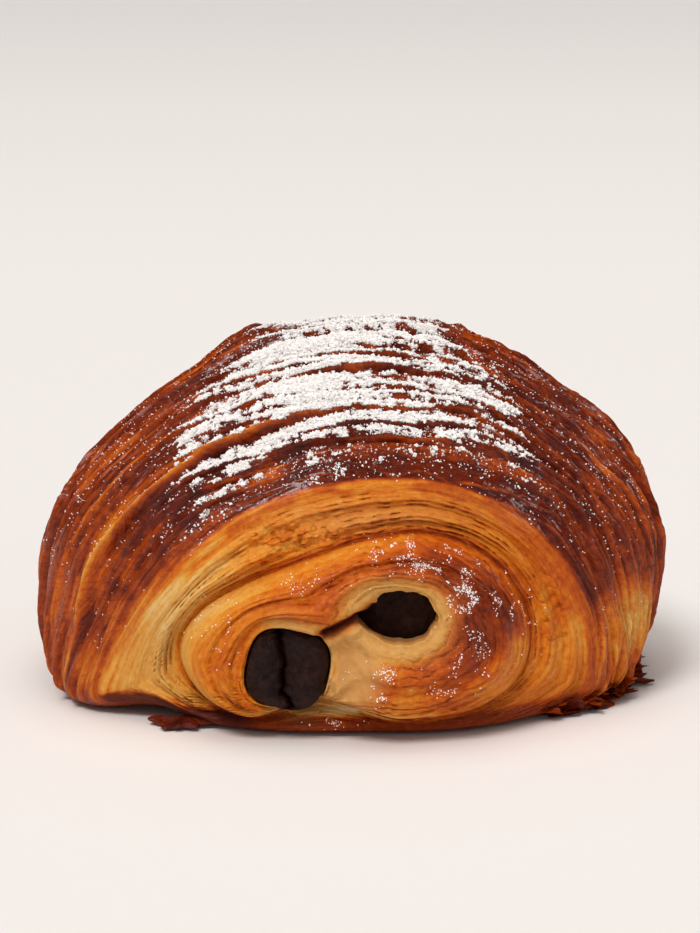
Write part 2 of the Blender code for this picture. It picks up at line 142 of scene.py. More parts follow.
sticks = {
    "stick_left": {
        "at": (-0.0099, 0.0116), "half": (0.0062, 0.0064), "tilt": -12.0,
        "front": -0.0466, "back": 0.0446, "squareness": 2.9, "crack": 0.0024, "dome": 0.0022, "lip": 0.0034,
        "dentAt": (0.0042, 0.0044), "dent": 0.0, "pinch": 0.0,
    },
    "stick_right": {
        "at": (0.0063, 0.0198), "half": (0.0062, 0.0046), "tilt": -6.0,
        "front": -0.0428, "back": 0.0428, "squareness": 2.3, "crack": 0.0, "dome": 0.0012, "lip": 0.0018,
        "dentAt": (-0.0052, -0.0004), "dent": 0.0014, "pinch": 0.0010,
    },
}  # fmt: skip

# How far the oven took each part, from 0 for pale dough to 1 for burnt. The marks on the cut end are
# X, Z, reach and bake, and those on the crust are X, Y, Z, reach and bake, with lengths in millimetres.
bandBake = (
    (-31, 9, 6, 0.32), (-35, 15, 3, 0.50), (-27, 18, 6, 0.22), (-22, 24, 5, 0.28),
    (-14, 28, 4, 0.42), (-7, 31.5, 4, 0.44), (-2, 35, 4, 0.45), (6, 36.5, 5, 0.46), (13, 35, 4, 0.47),
    (21, 31, 4, 0.46), (27, 25, 4, 0.50), (28, 18, 4, 0.50), (33, 14, 3, 0.36),
    (29, 9, 4, 0.47), (24, 4, 4, 0.50), (31, 22, 3.5, 0.54),
)  # fmt: skip
turnBake = (
    (-22, 10, 4, 0.43), (-18, 4, 4, 0.46), (-19, 17, 4, 0.48), (-10, 23, 4, 0.56),
    (-1, 27, 4, 0.60), (7, 29, 3.5, 0.64), (15, 26.5, 4, 0.72), (19.5, 20, 4, 0.74),
    (18, 13.5, 3.5, 0.70), (24, 12, 3, 0.48), (13, 8, 3.5, 0.60), (19, 6, 4, 0.46),
    (8, 5, 3.5, 0.42), (4, 8.5, 2.8, 0.56), (-1.2, 13.5, 3, 0.32), (0, 16.5, 2.6, 0.36),
    (-9, 4, 4, 0.38), (1, 6, 3, 0.36), (-17.5, 12, 2, 0.51),
)  # fmt: skip
crustBake = (
    (-47, -14, 18, 12, 0.72), (-43, -24, 14, 7, 0.67), (-41, -27, 6, 6, 0.57),
    (-34, -33, 13, 5, 0.52), (-36, -30, 26, 5, 0.64), (-29, -33, 33, 5, 0.70),
    (-30, -15, 42, 9, 0.74), (-21, -8, 50, 10, 0.76), (-8, -34, 43, 7, 0.81),
    (8, -34, 43, 7, 0.81), (21, -32, 40, 6, 0.82), (0, -5, 57, 14, 0.78),
    (27, -25, 43, 6, 0.84), (32, -16, 44, 9, 0.80), (38, -24, 33, 7, 0.82),
    (36, -29, 28, 4, 0.86),
    (45, -18, 24, 7, 0.76), (34, -32, 24, 5, 0.80), (40, -27, 11, 6, 0.56),
    (44.5, -21.5, 15, 4.4, 0.26), (38, -26, 3, 5, 0.60), (-40, 25, 10, 14, 0.62),
    (-30, 32, 32, 10, 0.77), (8, 35, 42, 12, 0.82), (40, 25, 12, 14, 0.62),
    (40, 20, 32, 12, 0.76),
)  # fmt: skip

# how far each of these is baked, on the same scale, except that slit is painted shadow in the slit, hole and
# holeWallShade are painted shade down inside the holes, and under only makes the bottom left beneath the turn
# darker
endBake = {"crustEdge": 0.62, "lip": 0.27, "sole": 0.70, "under": 0.86, "slit": 0.97, "hole": 0.92}
skinBake = {"sole": 0.74, "most": 0.93, "holeWallShade": 0.95}

# The thin layers, pockets and crumb of the cut end, which are too fine for the solid model, in metres. The
# first three are given with how much more they come to at the right of the ring, or at the left of the band.
fineEnd = {
    "ring": {"count": (9.0, 2.0), "step": (0.00034, -0.00008), "swell": (0.00018, -0.00006)},
    "band": {"count": (10.0, 2.0), "step": (0.00070, -0.00005), "swell": (0.00034, -0.00006)},
    "thinWidth": 0.00062,
    "thinStep": 0.00034,
    "tornCrumb": 0.00100,
    "bubblyCrumb": 0.00024,
    "plainCrumb": 0.00007,
    "pits": 0.0013,
    "pulled": 0.00030,
    "flakes": 0.0008,
    "tongueAt": (0.0005, 0.0125),
    "pulledAt": (-0.0005, 0.0125),
    "rawAndShadedAt": (-0.0010, 0.0125),
    # soft patches: where the middle is, X and Z, and how far they spread, in millimetres
    "torn": ((-9.0, 30.5), (9.0, 3.0)),
    "bubbly": ((30.0, 18.0), (5.0, 9.0)),
    "paleLeft": ((-31.0, 13.0), (7.0, 9.0)),
    "paleTop": ((2.0, 33.5), (14.0, 2.8)),
}

# The grain's noise is read on a circle of this radius round the spine, in metres, and the noise of the
# back end is shifted by this much, so that it differs from the front.
grainRadius = 0.042
backShift = 7.3


def smoothStep(value, low, high):
    share = np.clip((value - low) / (high - low), 0.0, 1.0)
    return share * share * (3.0 - 2.0 * share)


def bell(value, width=1.0):
    return np.exp(-((value / width) ** 2))


def blend(base, other, share):
    return base + (other - base) * share


def latticeValue(cell, seed):
    mixed = cell[..., 0] * 374761393 + cell[..., 1] * 668265263 + cell[..., 2] * 2147483647 + seed * 1274126177
    mixed = (mixed ^ (mixed >> 13)) * 1103515245 & 0x7FFFFFFF
    mixed = (mixed ^ (mixed >> 16)) * 69069 & 0x7FFFFFFF
    return mixed / 0x3FFFFFFF - 1.0


def lumps(points, seed):
    cell = np.floor(points).astype(np.int64)
    share = points - cell
    share = share * share * (3.0 - 2.0 * share)
    total = np.zeros(points.shape[:-1])
    for corner in np.ndindex(2, 2, 2):
        weight = np.prod(np.where(corner, share, 1.0 - share), axis=-1)
        total += weight * latticeValue(cell + np.array(corner), seed)
    return total


def lumpsAt(first, second, third, seed):
    return lumps(np.stack(np.broadcast_arrays(first, second, third), axis=-1), seed)


def grainLumps(spoke, across, alongSize, acrossSize, seed, shift=0.0):
    # noise that follows the layers. It runs round the spine, so it has no join.
    reach = grainRadius / alongSize
    return lumpsAt(np.cos(spoke) * reach, np.sin(spoke) * reach, across / acrossSize + shift, seed)


def smoothLoop(points, steps=8):
    knots = np.array(points)
    before, after, beyond = np.roll(knots, 1, 0), np.roll(knots, -1, 0), np.roll(knots, -2, 0)
    share = (np.arange(steps) / steps)[None, :, None]
    curve = 0.5 * (
        2.0 * knots[:, None]
        + (after - before)[:, None] * share
        + (2.0 * before - 5.0 * knots + 4.0 * after - beyond)[:, None] * share**2
        + (3.0 * knots - before - 3.0 * after + beyond)[:, None] * share**3
    )
    return curve.reshape(-1, 2)


def distanceToLoop(x, z, loop):
    start, end = loop[None], np.roll(loop, -1, axis=0)[None]
    along = end - start
    lengths = (along * along).sum(-1)
    slope = along[..., 0] / np.where(along[..., 1] == 0.0, 1e-12, along[..., 1])
    every = np.stack([x, z], axis=-1)
    result = np.empty(len(x))
    for first in range(0, len(x), 20000):
        place = every[first : first + 20000, None]
        share = np.clip(((place - start) * along).sum(-1) / lengths, 0.0, 1.0)
        reach = np.linalg.norm(place - start - share[..., None] * along, axis=-1).min(axis=1)
        rises = (start[..., 1] > place[..., 1]) != (end[..., 1] > place[..., 1])
        crossing = rises & (place[..., 0] < start[..., 0] + slope * (place[..., 1] - start[..., 1]))
        result[first : first + 20000] = np.where(crossing.sum(axis=1) % 2 == 1, -reach, reach)
    return result


def distanceToSlit(x, z):
    start, end = np.array(cutEnd["slit"][0]), np.array(cutEnd["slit"][1])
    along = end - start
    share = np.clip(((x - start[0]) * along[0] + (z - start[1]) * along[1]) / (along @ along), 0.0, 1.0)
    return np.hypot(x - start[0] - share * along[0], z - start[1] - share * along[1])


def distanceToStick(x, z, stick):
    turn = math.radians(stick["tilt"])
    across, up = x - stick["at"][0], z - stick["at"][1]
    side = (across * math.cos(turn) + up * math.sin(turn)) / stick["half"][0]
    rise = (up * math.cos(turn) - across * math.sin(turn)) / stick["half"][1]
    power = stick["squareness"]
    size = (np.abs(side) ** power + np.abs(rise) ** power) ** (1.0 / power)
    return (size - 1.0) * min(stick["half"])


def loafReach(direction):
    spine = np.array(loaf["spine"])
    crown = loaf["height"] - loaf["widestHeight"]
    near, far = np.zeros(direction.shape[:-1]), np.full(direction.shape[:-1], loaf["width"])
    for _ in range(24):
        middle = (near + far) / 2.0
        place = spine + direction * middle[..., None]
        rise = place[..., 2] - loaf["widestHeight"]
        upright = np.where(rise > 0.0, (rise / crown) ** 2, (np.abs(rise) / loaf["tuckDepth"]) ** 3)
        round_ = (place[..., 0] / loaf["width"] * 2.0) ** 2 + (place[..., 1] / loaf["length"] * 2.0) ** 2
        within = round_ + upright < 1.0
        near, far = np.where(within, middle, near), np.where(within, far, middle)
    reach = near
    for towards, swell, spread in loaf["swellings"]:
        centre = np.array(towards) / np.linalg.norm(towards)
        angle = np.degrees(np.arccos(np.clip(direction @ centre, -1.0, 1.0)))
        reach = reach + swell * bell(angle, spread)
    reach = reach + loaf["lumpReach"] * lumps((spine + direction * near[..., None]) / loaf["lumpSize"], 1)
    toTray = spine[2] / np.maximum(-direction[..., 2], 1e-3)
    power = loaf["soleRounding"]
    return (reach**-power + toTray**-power) ** (-1.0 / power)


def directionOf(spoke, dip):
    spoke, dip = np.broadcast_arrays(spoke, dip)
    return np.stack([np.sin(dip) * np.cos(spoke), -np.cos(dip), np.sin(dip) * np.sin(spoke)], axis=-1)


def crustDip(spokes):
    line = smoothLoop(cutEnd["crustLine"]) - np.array(loaf["spine"])[[0, 2]]
    turn = np.arctan2(line[:, 1], line[:, 0])
    order = np.argsort(turn)
    wrapped = np.angle(np.exp(1j * spokes))
    radius = np.interp(wrapped, turn[order], np.hypot(*line[order].T), period=2.0 * math.pi)
    dips = np.linspace(0.02, math.pi / 2.0, 200)
    spread = loafReach(directionOf(spokes[:, None], dips[None])) * np.sin(dips)
    rising = np.maximum.accumulate(spread, axis=1)
    return np.array([np.interp(r, row, dips) for r, row in zip(radius, rising)])


def weighMarks(place, marks):
    total, weight = 0.0, 1e-9
    for *at, reach, level in marks:
        pull = np.exp(-((place * 1000.0 - np.array(at)) ** 2).sum(axis=-1) / reach**2)
        total, weight = total + pull * level, weight + pull
    return total / weight


def roundOver(share):
    # a quarter circle, from 0 at its foot to 1 at its top
    return np.sqrt(1.0 - (1.0 - np.clip(share, 0.0, 1.0)) ** 2)


def softPatch(at, name):
    middle, spread = fineEnd[name]
    return bell(np.hypot((at.x * 1000.0 - middle[0]) / spread[0], (at.z * 1000.0 - middle[1]) / spread[1]))


def awayFrom(at, middle):
    # a little narrower upwards
    return np.hypot(at.x - middle[0], (at.z - middle[1]) * 0.8)


def endPlan(x, z, spoke, side):
    # how far each point of the cut end lies from its seams and holes, and which stretches it is on
    at = SimpleNamespace(x=x, z=z, side=side)
    at.grain = lambda across, along, wide, seed: grainLumps(spoke, across, along, wide, seed, side)
    at.crumb = lambda sizeX, sizeZ, seed: lumpsAt(x / sizeX, z / sizeZ, side, seed)
    at.turn = distanceToLoop(x, z, smoothLoop(cutEnd["turnLine"]))
    at.crust = -distanceToLoop(x, z, smoothLoop(cutEnd["crustLine"]))
    at.holes = [distanceToStick(x, z, stick) for stick in sticks.values()]
    at.hole = np.minimum.reduce(at.holes)
    at.slit = distanceToSlit(x, z)
    at.clearOfHole = np.clip(at.hole, 0.0, None)
    at.inTurn = at.turn < 0.0
    beyond = np.maximum(at.turn, 0.0)
    at.inside = at.clearOfHole / np.maximum(at.clearOfHole - np.minimum(at.turn, 0.0), 1e-6)
    at.outside = beyond / np.maximum(beyond + np.maximum(at.crust, 0.0), 1e-6)
    at.leftAndTop = 0.35 + 0.65 * smoothStep(z - 0.9 * x, -0.012, 0.022)
    at.onRight = smoothStep(x, 0.006, 0.018)
    at.onLeft = smoothStep(-x, 0.010, 0.020)
    at.pastTurn = smoothStep(at.turn, 0.0, 0.002)
    at.tongue = 1.0 - smoothStep(awayFrom(at, fineEnd["tongueAt"]), 0.0030, 0.0058)
    at.torn = softPatch(at, "torn") * smoothStep(at.turn, 0.0005, 0.002)
    at.bubbly = softPatch(at, "bubbly") * smoothStep(at.crust, 0.0, 0.002) * at.pastTurn
    valley = np.hypot(x - cutEnd["valleyAt"][0], z - cutEnd["valleyAt"][1])
    at.valley = bell(valley, cutEnd["valleySpread"])
    return at


def endForm(at):
    # the same turns, seams and holes as the solid model
    layer = np.where(at.inTurn, at.inside * cutEnd["layersInTurn"], at.outside * cutEnd["layersOutside"])
    shoulder = cutEnd["turnShoulder"] * (2.3 - 1.3 * at.leftAndTop)
    relief = cutEnd["turnBulge"] * roundOver(-at.turn / shoulder)
    overhang = smoothStep(at.crust, 0.0, cutEnd["crustEdgeWidth"])
    relief -= cutEnd["crustOverhang"] * overhang * smoothStep(at.turn, 0.0, cutEnd["turnShoulder"])
    seamWidth = np.where(at.inTurn, cutEnd["seamInnerWidth"], cutEnd["seamWidth"])
    filled = 0.45 * smoothStep(at.z, 0.020, 0.028) * smoothStep(at.x, -0.016, -0.002)
    relief -= cutEnd["seamDepth"] * at.leftAndTop * (1.0 - filled) * bell(at.turn, seamWidth)
    pairs = zip(at.holes, sticks.values())
    lips = [roundOver(np.clip(gone, 0.0, None) / stick["lip"]) for gone, stick in pairs]
    relief -= cutEnd["lipDepth"] * (1.0 - np.minimum.reduce(lips))
    relief -= cutEnd["slitDepth"] * bell(at.slit, cutEnd["slitWidth"])
    knob = np.hypot(at.x - cutEnd["tongueAt"][0], at.z - cutEnd["tongueAt"][1])
    relief += cutEnd["tongueReach"] * bell(knob, cutEnd["tongueSpread"]) - cutEnd["valleyDepth"] * at.valley
    clearOfSeam = smoothStep(np.abs(at.turn), 0.0, cutEnd["seamWidth"])
    relief += cutEnd["layerStep"] * np.cos(2.0 * math.pi * layer) * clearOfSeam
    return relief - cutEnd["pitDepth"] * (1.0 - smoothStep(at.hole, -0.0007, 0.0001))


def endLayers(at):
    # thin layers, with pockets where they have come apart, and open crumb where the dough tore or swelled
    def vary(name):
        ring, band = fineEnd["ring"][name], fineEnd["band"][name]
        return np.where(at.inTurn, ring[0] + ring[1] * at.onRight, band[0] + band[1] * at.onLeft)

    warp = 0.34 * at.grain(at.turn, 0.010, 0.005, 11) + 0.14 * at.grain(at.turn, 0.003, 0.002, 12)
    phase = np.where(at.inTurn, at.inside, at.outside) * vary("count") + warp
    at.share = phase - np.floor(phase)
    row = np.floor(phase) * 1.7
    at.broken = 0.7 * at.grain(row, 0.0032, 1.0, 13) + 0.8 * at.grain(row, 0.0110, 1.0, 10)
    at.gap = bell(np.minimum(at.share, 1.0 - at.share), 0.15 + 0.05 * at.broken)
    clear = smoothStep(np.abs(at.turn), 0.0, 0.0008) * (1.0 - at.tongue)
    clear = clear * (1.0 - 0.9 * at.bubbly) * (1.0 - 0.6 * at.torn)
    at.openness = smoothStep(at.broken, np.where(at.inTurn, -0.3, 0.05 - 0.20 * at.onLeft), 0.8) * clear
    relief = vary("swell") * np.sin(math.pi * at.share) * clear - vary("step") * at.gap * at.openness

    thin = at.turn / fineEnd["thinWidth"] + 0.9 * at.grain(at.turn, 0.009, 0.003, 19)
    thinShare = thin - np.floor(thin)
    thinBroken = at.grain(np.floor(thin) * 1.9, 0.0060, 1.0, 9)
    belt = bell(at.turn + 0.0010, 0.0034) * (0.45 + 0.55 * at.onRight) * (1.0 - at.tongue) * (1.0 - at.bubbly)
    belt = np.maximum(belt, 0.5 * at.onLeft * at.pastTurn)
    at.thinEdge = belt * (smoothStep(thinShare, 0.0, 0.25) - thinShare) * smoothStep(thinBroken, -0.5, 0.3)
    relief += fineEnd["thinStep"] * at.thinEdge

    at.crumbs = at.crumb(0.0015, 0.0011, 14) + 0.6 * at.crumb(0.0007, 0.0005, 15)
    crumbStep = fineEnd["tornCrumb"] * at.torn + fineEnd["bubblyCrumb"] * at.bubbly + fineEnd["plainCrumb"]
    pits = bell(at.crumb(0.0010, 0.0010, 16) + 0.75, 0.22)
    relief += crumbStep * at.crumbs - fineEnd["pits"] * pits * (0.8 * at.torn + 0.5 * at.bubbly)
    pulled = lumpsAt((at.x + 0.4 * at.z) / 0.0010, (at.z - 0.4 * at.x) / 0.0036, at.side, 7)
    relief += fineEnd["pulled"] * pulled * (1.0 - smoothStep(awayFrom(at, fineEnd["pulledAt"]), 0.0040, 0.0075))
    at.flakes = at.grain(at.crust, 0.012, 0.0010, 18)
    edge = bell(at.crust - 0.0012, 0.0022) * (0.3 + 0.7 * at.onLeft)
    return relief + fineEnd["flakes"] * smoothStep(at.flakes, 0.0, 0.5) * edge


def endTones(at):
    # how far the cut end is baked, with painted shade in its seam, pockets, valley, slit and holes: the band
    # outside the turn, then the ring, then what crosses both
    flat = np.stack([at.x, at.z], axis=-1)
    band = weighMarks(flat, bandBake) + 0.05 * (at.share - 0.5)
    # painted shade: darker in the pockets where the layers came apart
    band += (0.05 + 0.13 * at.onLeft) * at.gap * at.openness - 0.05 * at.onLeft * at.broken
    band += 0.09 * at.torn * at.crumbs + 0.10 * at.bubbly * lumpsAt(at.x / 0.0026, at.z / 0.0030, 0.0, 17)
    ragged = 0.0034 * at.flakes + 0.0013 * at.grain(at.crust, 0.005, 0.0006, 20)
    nearCrust = 1.0 - smoothStep(at.crust + ragged, -0.0008, 0.0009 + 0.0026 * at.onRight + 0.0016 * at.onLeft)
    band = blend(band, endBake["crustEdge"] - 0.04 * at.onLeft + 0.13 * at.flakes, nearCrust)

    ring = weighMarks(flat, turnBake)
    blotchy = lumpsAt(at.x / 0.0030, at.z / 0.0030, 0.0, 8)
    # painted shade in the pockets, with tone that differs at random
    ring += (0.04 * at.gap + 0.03 * at.broken + 0.05 * blotchy) * (1.0 - at.tongue)
    ring -= 0.20 * bell(at.turn, 0.0017) * (1.0 - at.onRight)
    paleLip = bell(at.clearOfHole, 0.0018) * (1.0 - smoothStep(-at.x, 0.0105, 0.0150))
    ring = blend(ring, endBake["lip"], paleLip)

    bake = blend(ring, band, smoothStep(at.turn, -0.0002 - 0.0030 * at.onRight, 0.0002 + 0.0016 * at.onRight))
    # painted shade: darker in the seam round the turn and in the valley between the holes; the thin layer edges
    # are paler
    bake += 0.22 * bell(at.turn - 0.0003, 0.0005) * at.leftAndTop - 0.13 * at.thinEdge + 0.07 * at.valley
    onSole = smoothStep(at.turn, 0.0, 0.0006) * (1.0 - smoothStep(at.z, 0.0030, 0.0046))
    onSole = onSole * smoothStep(at.x, -0.018, -0.016)
    under = smoothStep(-at.x, 0.014, 0.018) * (1.0 - smoothStep(at.z + 0.0004 * at.crumbs, 0.0030, 0.0044))
    bake = blend(bake, endBake["sole"], onSole)
    bake = blend(bake, endBake["under"], under)
    # painted shadow in the slit, and painted shade down inside the holes
    bake = blend(bake, endBake["slit"], bell(at.slit, 0.00070))
    bake = blend(bake, endBake["hole"], 1.0 - smoothStep(at.hole, -0.0006, -0.0001))

    gloss = np.where(at.inTurn, 0.34, 0.16) * (1.0 - 0.8 * at.tongue) * (1.0 - 0.5 * onSole) + 0.25 * at.onRight
    streaks = np.where(at.inTurn, 0.50, 0.60) + 0.20 * at.onRight - 0.10 * at.tongue
    streaks = streaks * (1.0 - 0.8 * at.bubbly)
    across = np.where(at.inTurn, -0.030 + at.turn, (at.outside - 1.0) * 0.011)
    # a dull, darker cream mixed in: partly pale steamed dough, partly painted shade, most of all round the
    # valley between the holes
    rawAndShaded = np.maximum(1.0 - smoothStep(awayFrom(at, fineEnd["rawAndShadedAt"]), 0.0030, 0.0075), 0.75 * paleLip)
    rawAndShaded += (0.32 * softPatch(at, "paleLeft") + 0.40 * softPatch(at, "paleTop")) * at.pastTurn
    rawAndShaded = np.clip(rawAndShaded, 0.0, 1.0) * (1.0 - bell(at.slit, 0.0010))
    return bake, gloss, streaks, across, rawAndShaded


def cutEndRelief(x, z, spoke, side):
    at = endPlan(x, z, spoke, side)
    relief = endForm(at) + endLayers(at)
    return relief, *endTones(at)


def foldRelief(spoke, hoop, place):
    wander = lumpsAt(np.cos(spoke) * 1.6, np.sin(spoke) * 1.6, hoop * 1.5, 2)
    phase = hoop * crustFolds["folds"] + crustFolds["foldWander"] * wander
    share = phase - np.floor(phase)
    strength = 0.55 + 0.45 * lumps(place / 0.011, 3)
    return crustFolds["foldStep"] * strength * (smoothStep(share, 0.0, 0.2) - share), share


def sheetRelief(spoke, hoop, place):
    # the edge of the top sheet of dough, which lies over the left flank and ends short of the cut end
    past = hoop - crustFolds["sheetHoop"] - 0.03 * lumps(place / 0.012, 4)
    onFlank = smoothStep(np.cos(spoke), -0.2, -0.6)
    step = smoothStep(past, -0.012, 0.012) * np.exp(-np.maximum(past, 0.0) / 0.22)
    return onFlank * smoothStep(place[..., 2], 0.004, 0.020) * step, past, onFlank


def crustRelief(spoke, hoop, place):
    def grain(across, along, wide, seed):
        return grainLumps(spoke, across, along, wide, seed)

    fold, foldShare = foldRelief(spoke, hoop, place)
    sheet, pastSheet, onFlank = sheetRelief(spoke, hoop, place)
    across = hoop * crustFolds["hoopLength"]
    right = smoothStep(place[..., 0], 0.0, 0.025)
    low = 1.0 - smoothStep(place[..., 2], 0.010, 0.034)
    warp = 1.1 * grain(across, 0.022, 0.010, 21) + 0.30 * grain(across, 0.008, 0.005, 22)
    phase = across / crustFolds["ribbonWidth"] * (1.0 + 0.25 * right) + warp
    index, share = np.floor(phase), phase - np.floor(phase)
    strength = np.clip(0.55 + 0.75 * grain(index * 1.31, 0.011, 1.0, 23), 0.08, 1.2)
    lip = smoothStep(share, 0.0, 0.14) - share
    thread = across / crustFolds["threadWidth"] + 1.4 * grain(across, 0.012, 0.0040, 24)
    threadIndex, threadShare = np.floor(thread), thread - np.floor(thread)
    threadStrength = np.clip(0.5 + 0.9 * grain(threadIndex * 1.7, 0.007, 1.0, 29), 0.0, 1.3)
    threadLip = (smoothStep(threadShare, 0.0, 0.3) - threadShare) * threadStrength
    crack = bell(grain(across, crustFolds["crackleSize"], 0.0012, 25), crustFolds["crackleWidth"])
    blister = grain(across, 0.0034, 0.0022, 26)
    relief = fold + crustFolds["sheetStep"] * sheet + crustFolds["ribbonStep"] * strength * lip
    relief += crustFolds["threadStep"] * (0.6 + 0.25 * right) * threadLip - crustFolds["sink"]
    relief += crustFolds["blisterStep"] * blister - crustFolds["crackleStep"] * crack * (1.0 - 0.5 * low)
    edge = crustFolds["lipRise"] * bell(pastSheet - 0.012, crustFolds["lipWidth"])
    edge -= crustFolds["lipUndercut"] * bell(pastSheet + 0.016, crustFolds["lipWidth"])
    relief += onFlank * smoothStep(place[..., 2], 0.004, 0.020) * edge

    tone = grain(index * 2.3, 0.016, 1.0, 27)
    blotch = lumps(place / 0.0065, 28) + 0.5 * lumps(place / 0.0026, 30)
    # painted highlight: each ribbon's raised lip is painted paler; painted shade: the crease before each lip is
    # painted darker
    lipHighlight = bell(share - 0.12, 0.07) * smoothStep(tone, -0.1, 0.6)
    creaseShade = (smoothStep(share, 0.84, 0.97) + bell(share, 0.04)) * strength
    bake = weighMarks(place, crustBake)
    bake += 0.08 * tone + 0.06 * blotch + 0.12 * creaseShade - 0.24 * lipHighlight + 0.05 * blister * (1.0 - low)
    bake += 0.05 * crack - 0.07 * threadLip * (1.0 + right) - 0.10 * smoothStep(foldShare, 0.55, 0.95)
    # the top sheet's edge: a paler lip on its crest, and painted shadow at the foot of its wall below it
    sheetEdgeToneAndShadow = 0.34 * bell(pastSheet - 0.012, 0.008) - 0.12 * bell(pastSheet + 0.008, 0.008)
    sheetEdgeToneAndShadow -= 0.05 * bell(pastSheet - 0.07, 0.04)
    before = smoothStep(-pastSheet, 0.004, 0.020) * smoothStep(hoop, 0.02, 0.09)
    bake += onFlank * (before * (0.04 * (1.0 - low) + 0.17 * blotch) - sheetEdgeToneAndShadow * (0.85 + 0.25 * tone))
    bake = np.minimum(bake, skinBake["most"])
    height = 0.50 * lip * strength + 0.40 * threadLip + 0.20 * (smoothStep(foldShare, 0.0, 0.2) - foldShare)
    return relief, bake, height, across


def settle(place):
    nookX, nookY = loaf["nookAt"]
    nook = bell(np.hypot(place[..., 0] - nookX, place[..., 1] - nookY), loaf["nookSpread"])
    lift = loaf["nookLift"] * nook * (1.0 - smoothStep(place[..., 2], 0.0, 0.008))
    height = (place[..., 2] - loaf["soleLift"]) * loaf["height"] / (loaf["height"] - loaf["soleLift"])
    place[..., 2] = np.maximum(height, 0.0) + lift
    return place


def gridNormals(place):
    beside = np.roll(place, -1, axis=1) - np.roll(place, 1, axis=1)
    onward = np.gradient(place, axis=0)
    normal = np.cross(onward, beside)
    return normal / np.maximum(np.linalg.norm(normal, axis=-1, keepdims=True), 1e-12)


# Where the icing sugar was sifted, as seen from above, in millimetres.
sugarBand = {
    "outline": (
        (-12, 28), (-18, 18), (-18, 7), (-17, -3), (-21, -12), (-25, -21),
        (-27, -33), (-23, -37.5), (-17, -36.5),
        (-8, -35.5), (8, -34.5), (20, -32.5), (26, -31), (26, -25), (23.5, -20), (20.5, -13),
        (14.5, -4), (15, 9), (14, 21), (4, 30),
    ),
    # X, Y, reach and how much more sugar lies there, or less
    "heaps": (
        (-5, -13, 7, 0.30), (2, -12, 7, 0.26), (-16, -13, 4, 0.14), (1, -5, 7, 0.10),
        (-4, -24, 5, 0.22), (-7, -29.5, 4.5, 0.20), (13, -20, 5, 0.14), (10, -30, 4, 0.12),
        (7, -25.5, 3.2, -0.22), (0.5, -29, 2.4, -0.20), (17, -25, 3, -0.12), (-15, -24, 3, -0.14),
        (0, 20, 14, -0.16),
    ),
    "softEdge": 2.6,
    "coverage": 0.57,
    # in metres
    "thinnest": 0.00005,
    "thickness": 0.00026,
}  # fmt: skip


def sugarFall(place):
    crown = (place[..., 2] > 0.02) & (place[..., 1] < 0.03)
    inside = np.full(place.shape[:-1], -0.01)
    outline = smoothLoop(np.array(sugarBand["outline"]) / 1000.0)
    inside[crown] = -distanceToLoop(place[..., 0][crown], place[..., 1][crown], outline)
    ragged = 0.0022 * lumps(place / 0.006, 34) + 0.0014 * lumps(place / 0.002, 35)
    soft = sugarBand["softEdge"] / 1000.0
    return smoothStep(inside + ragged, -soft, soft)


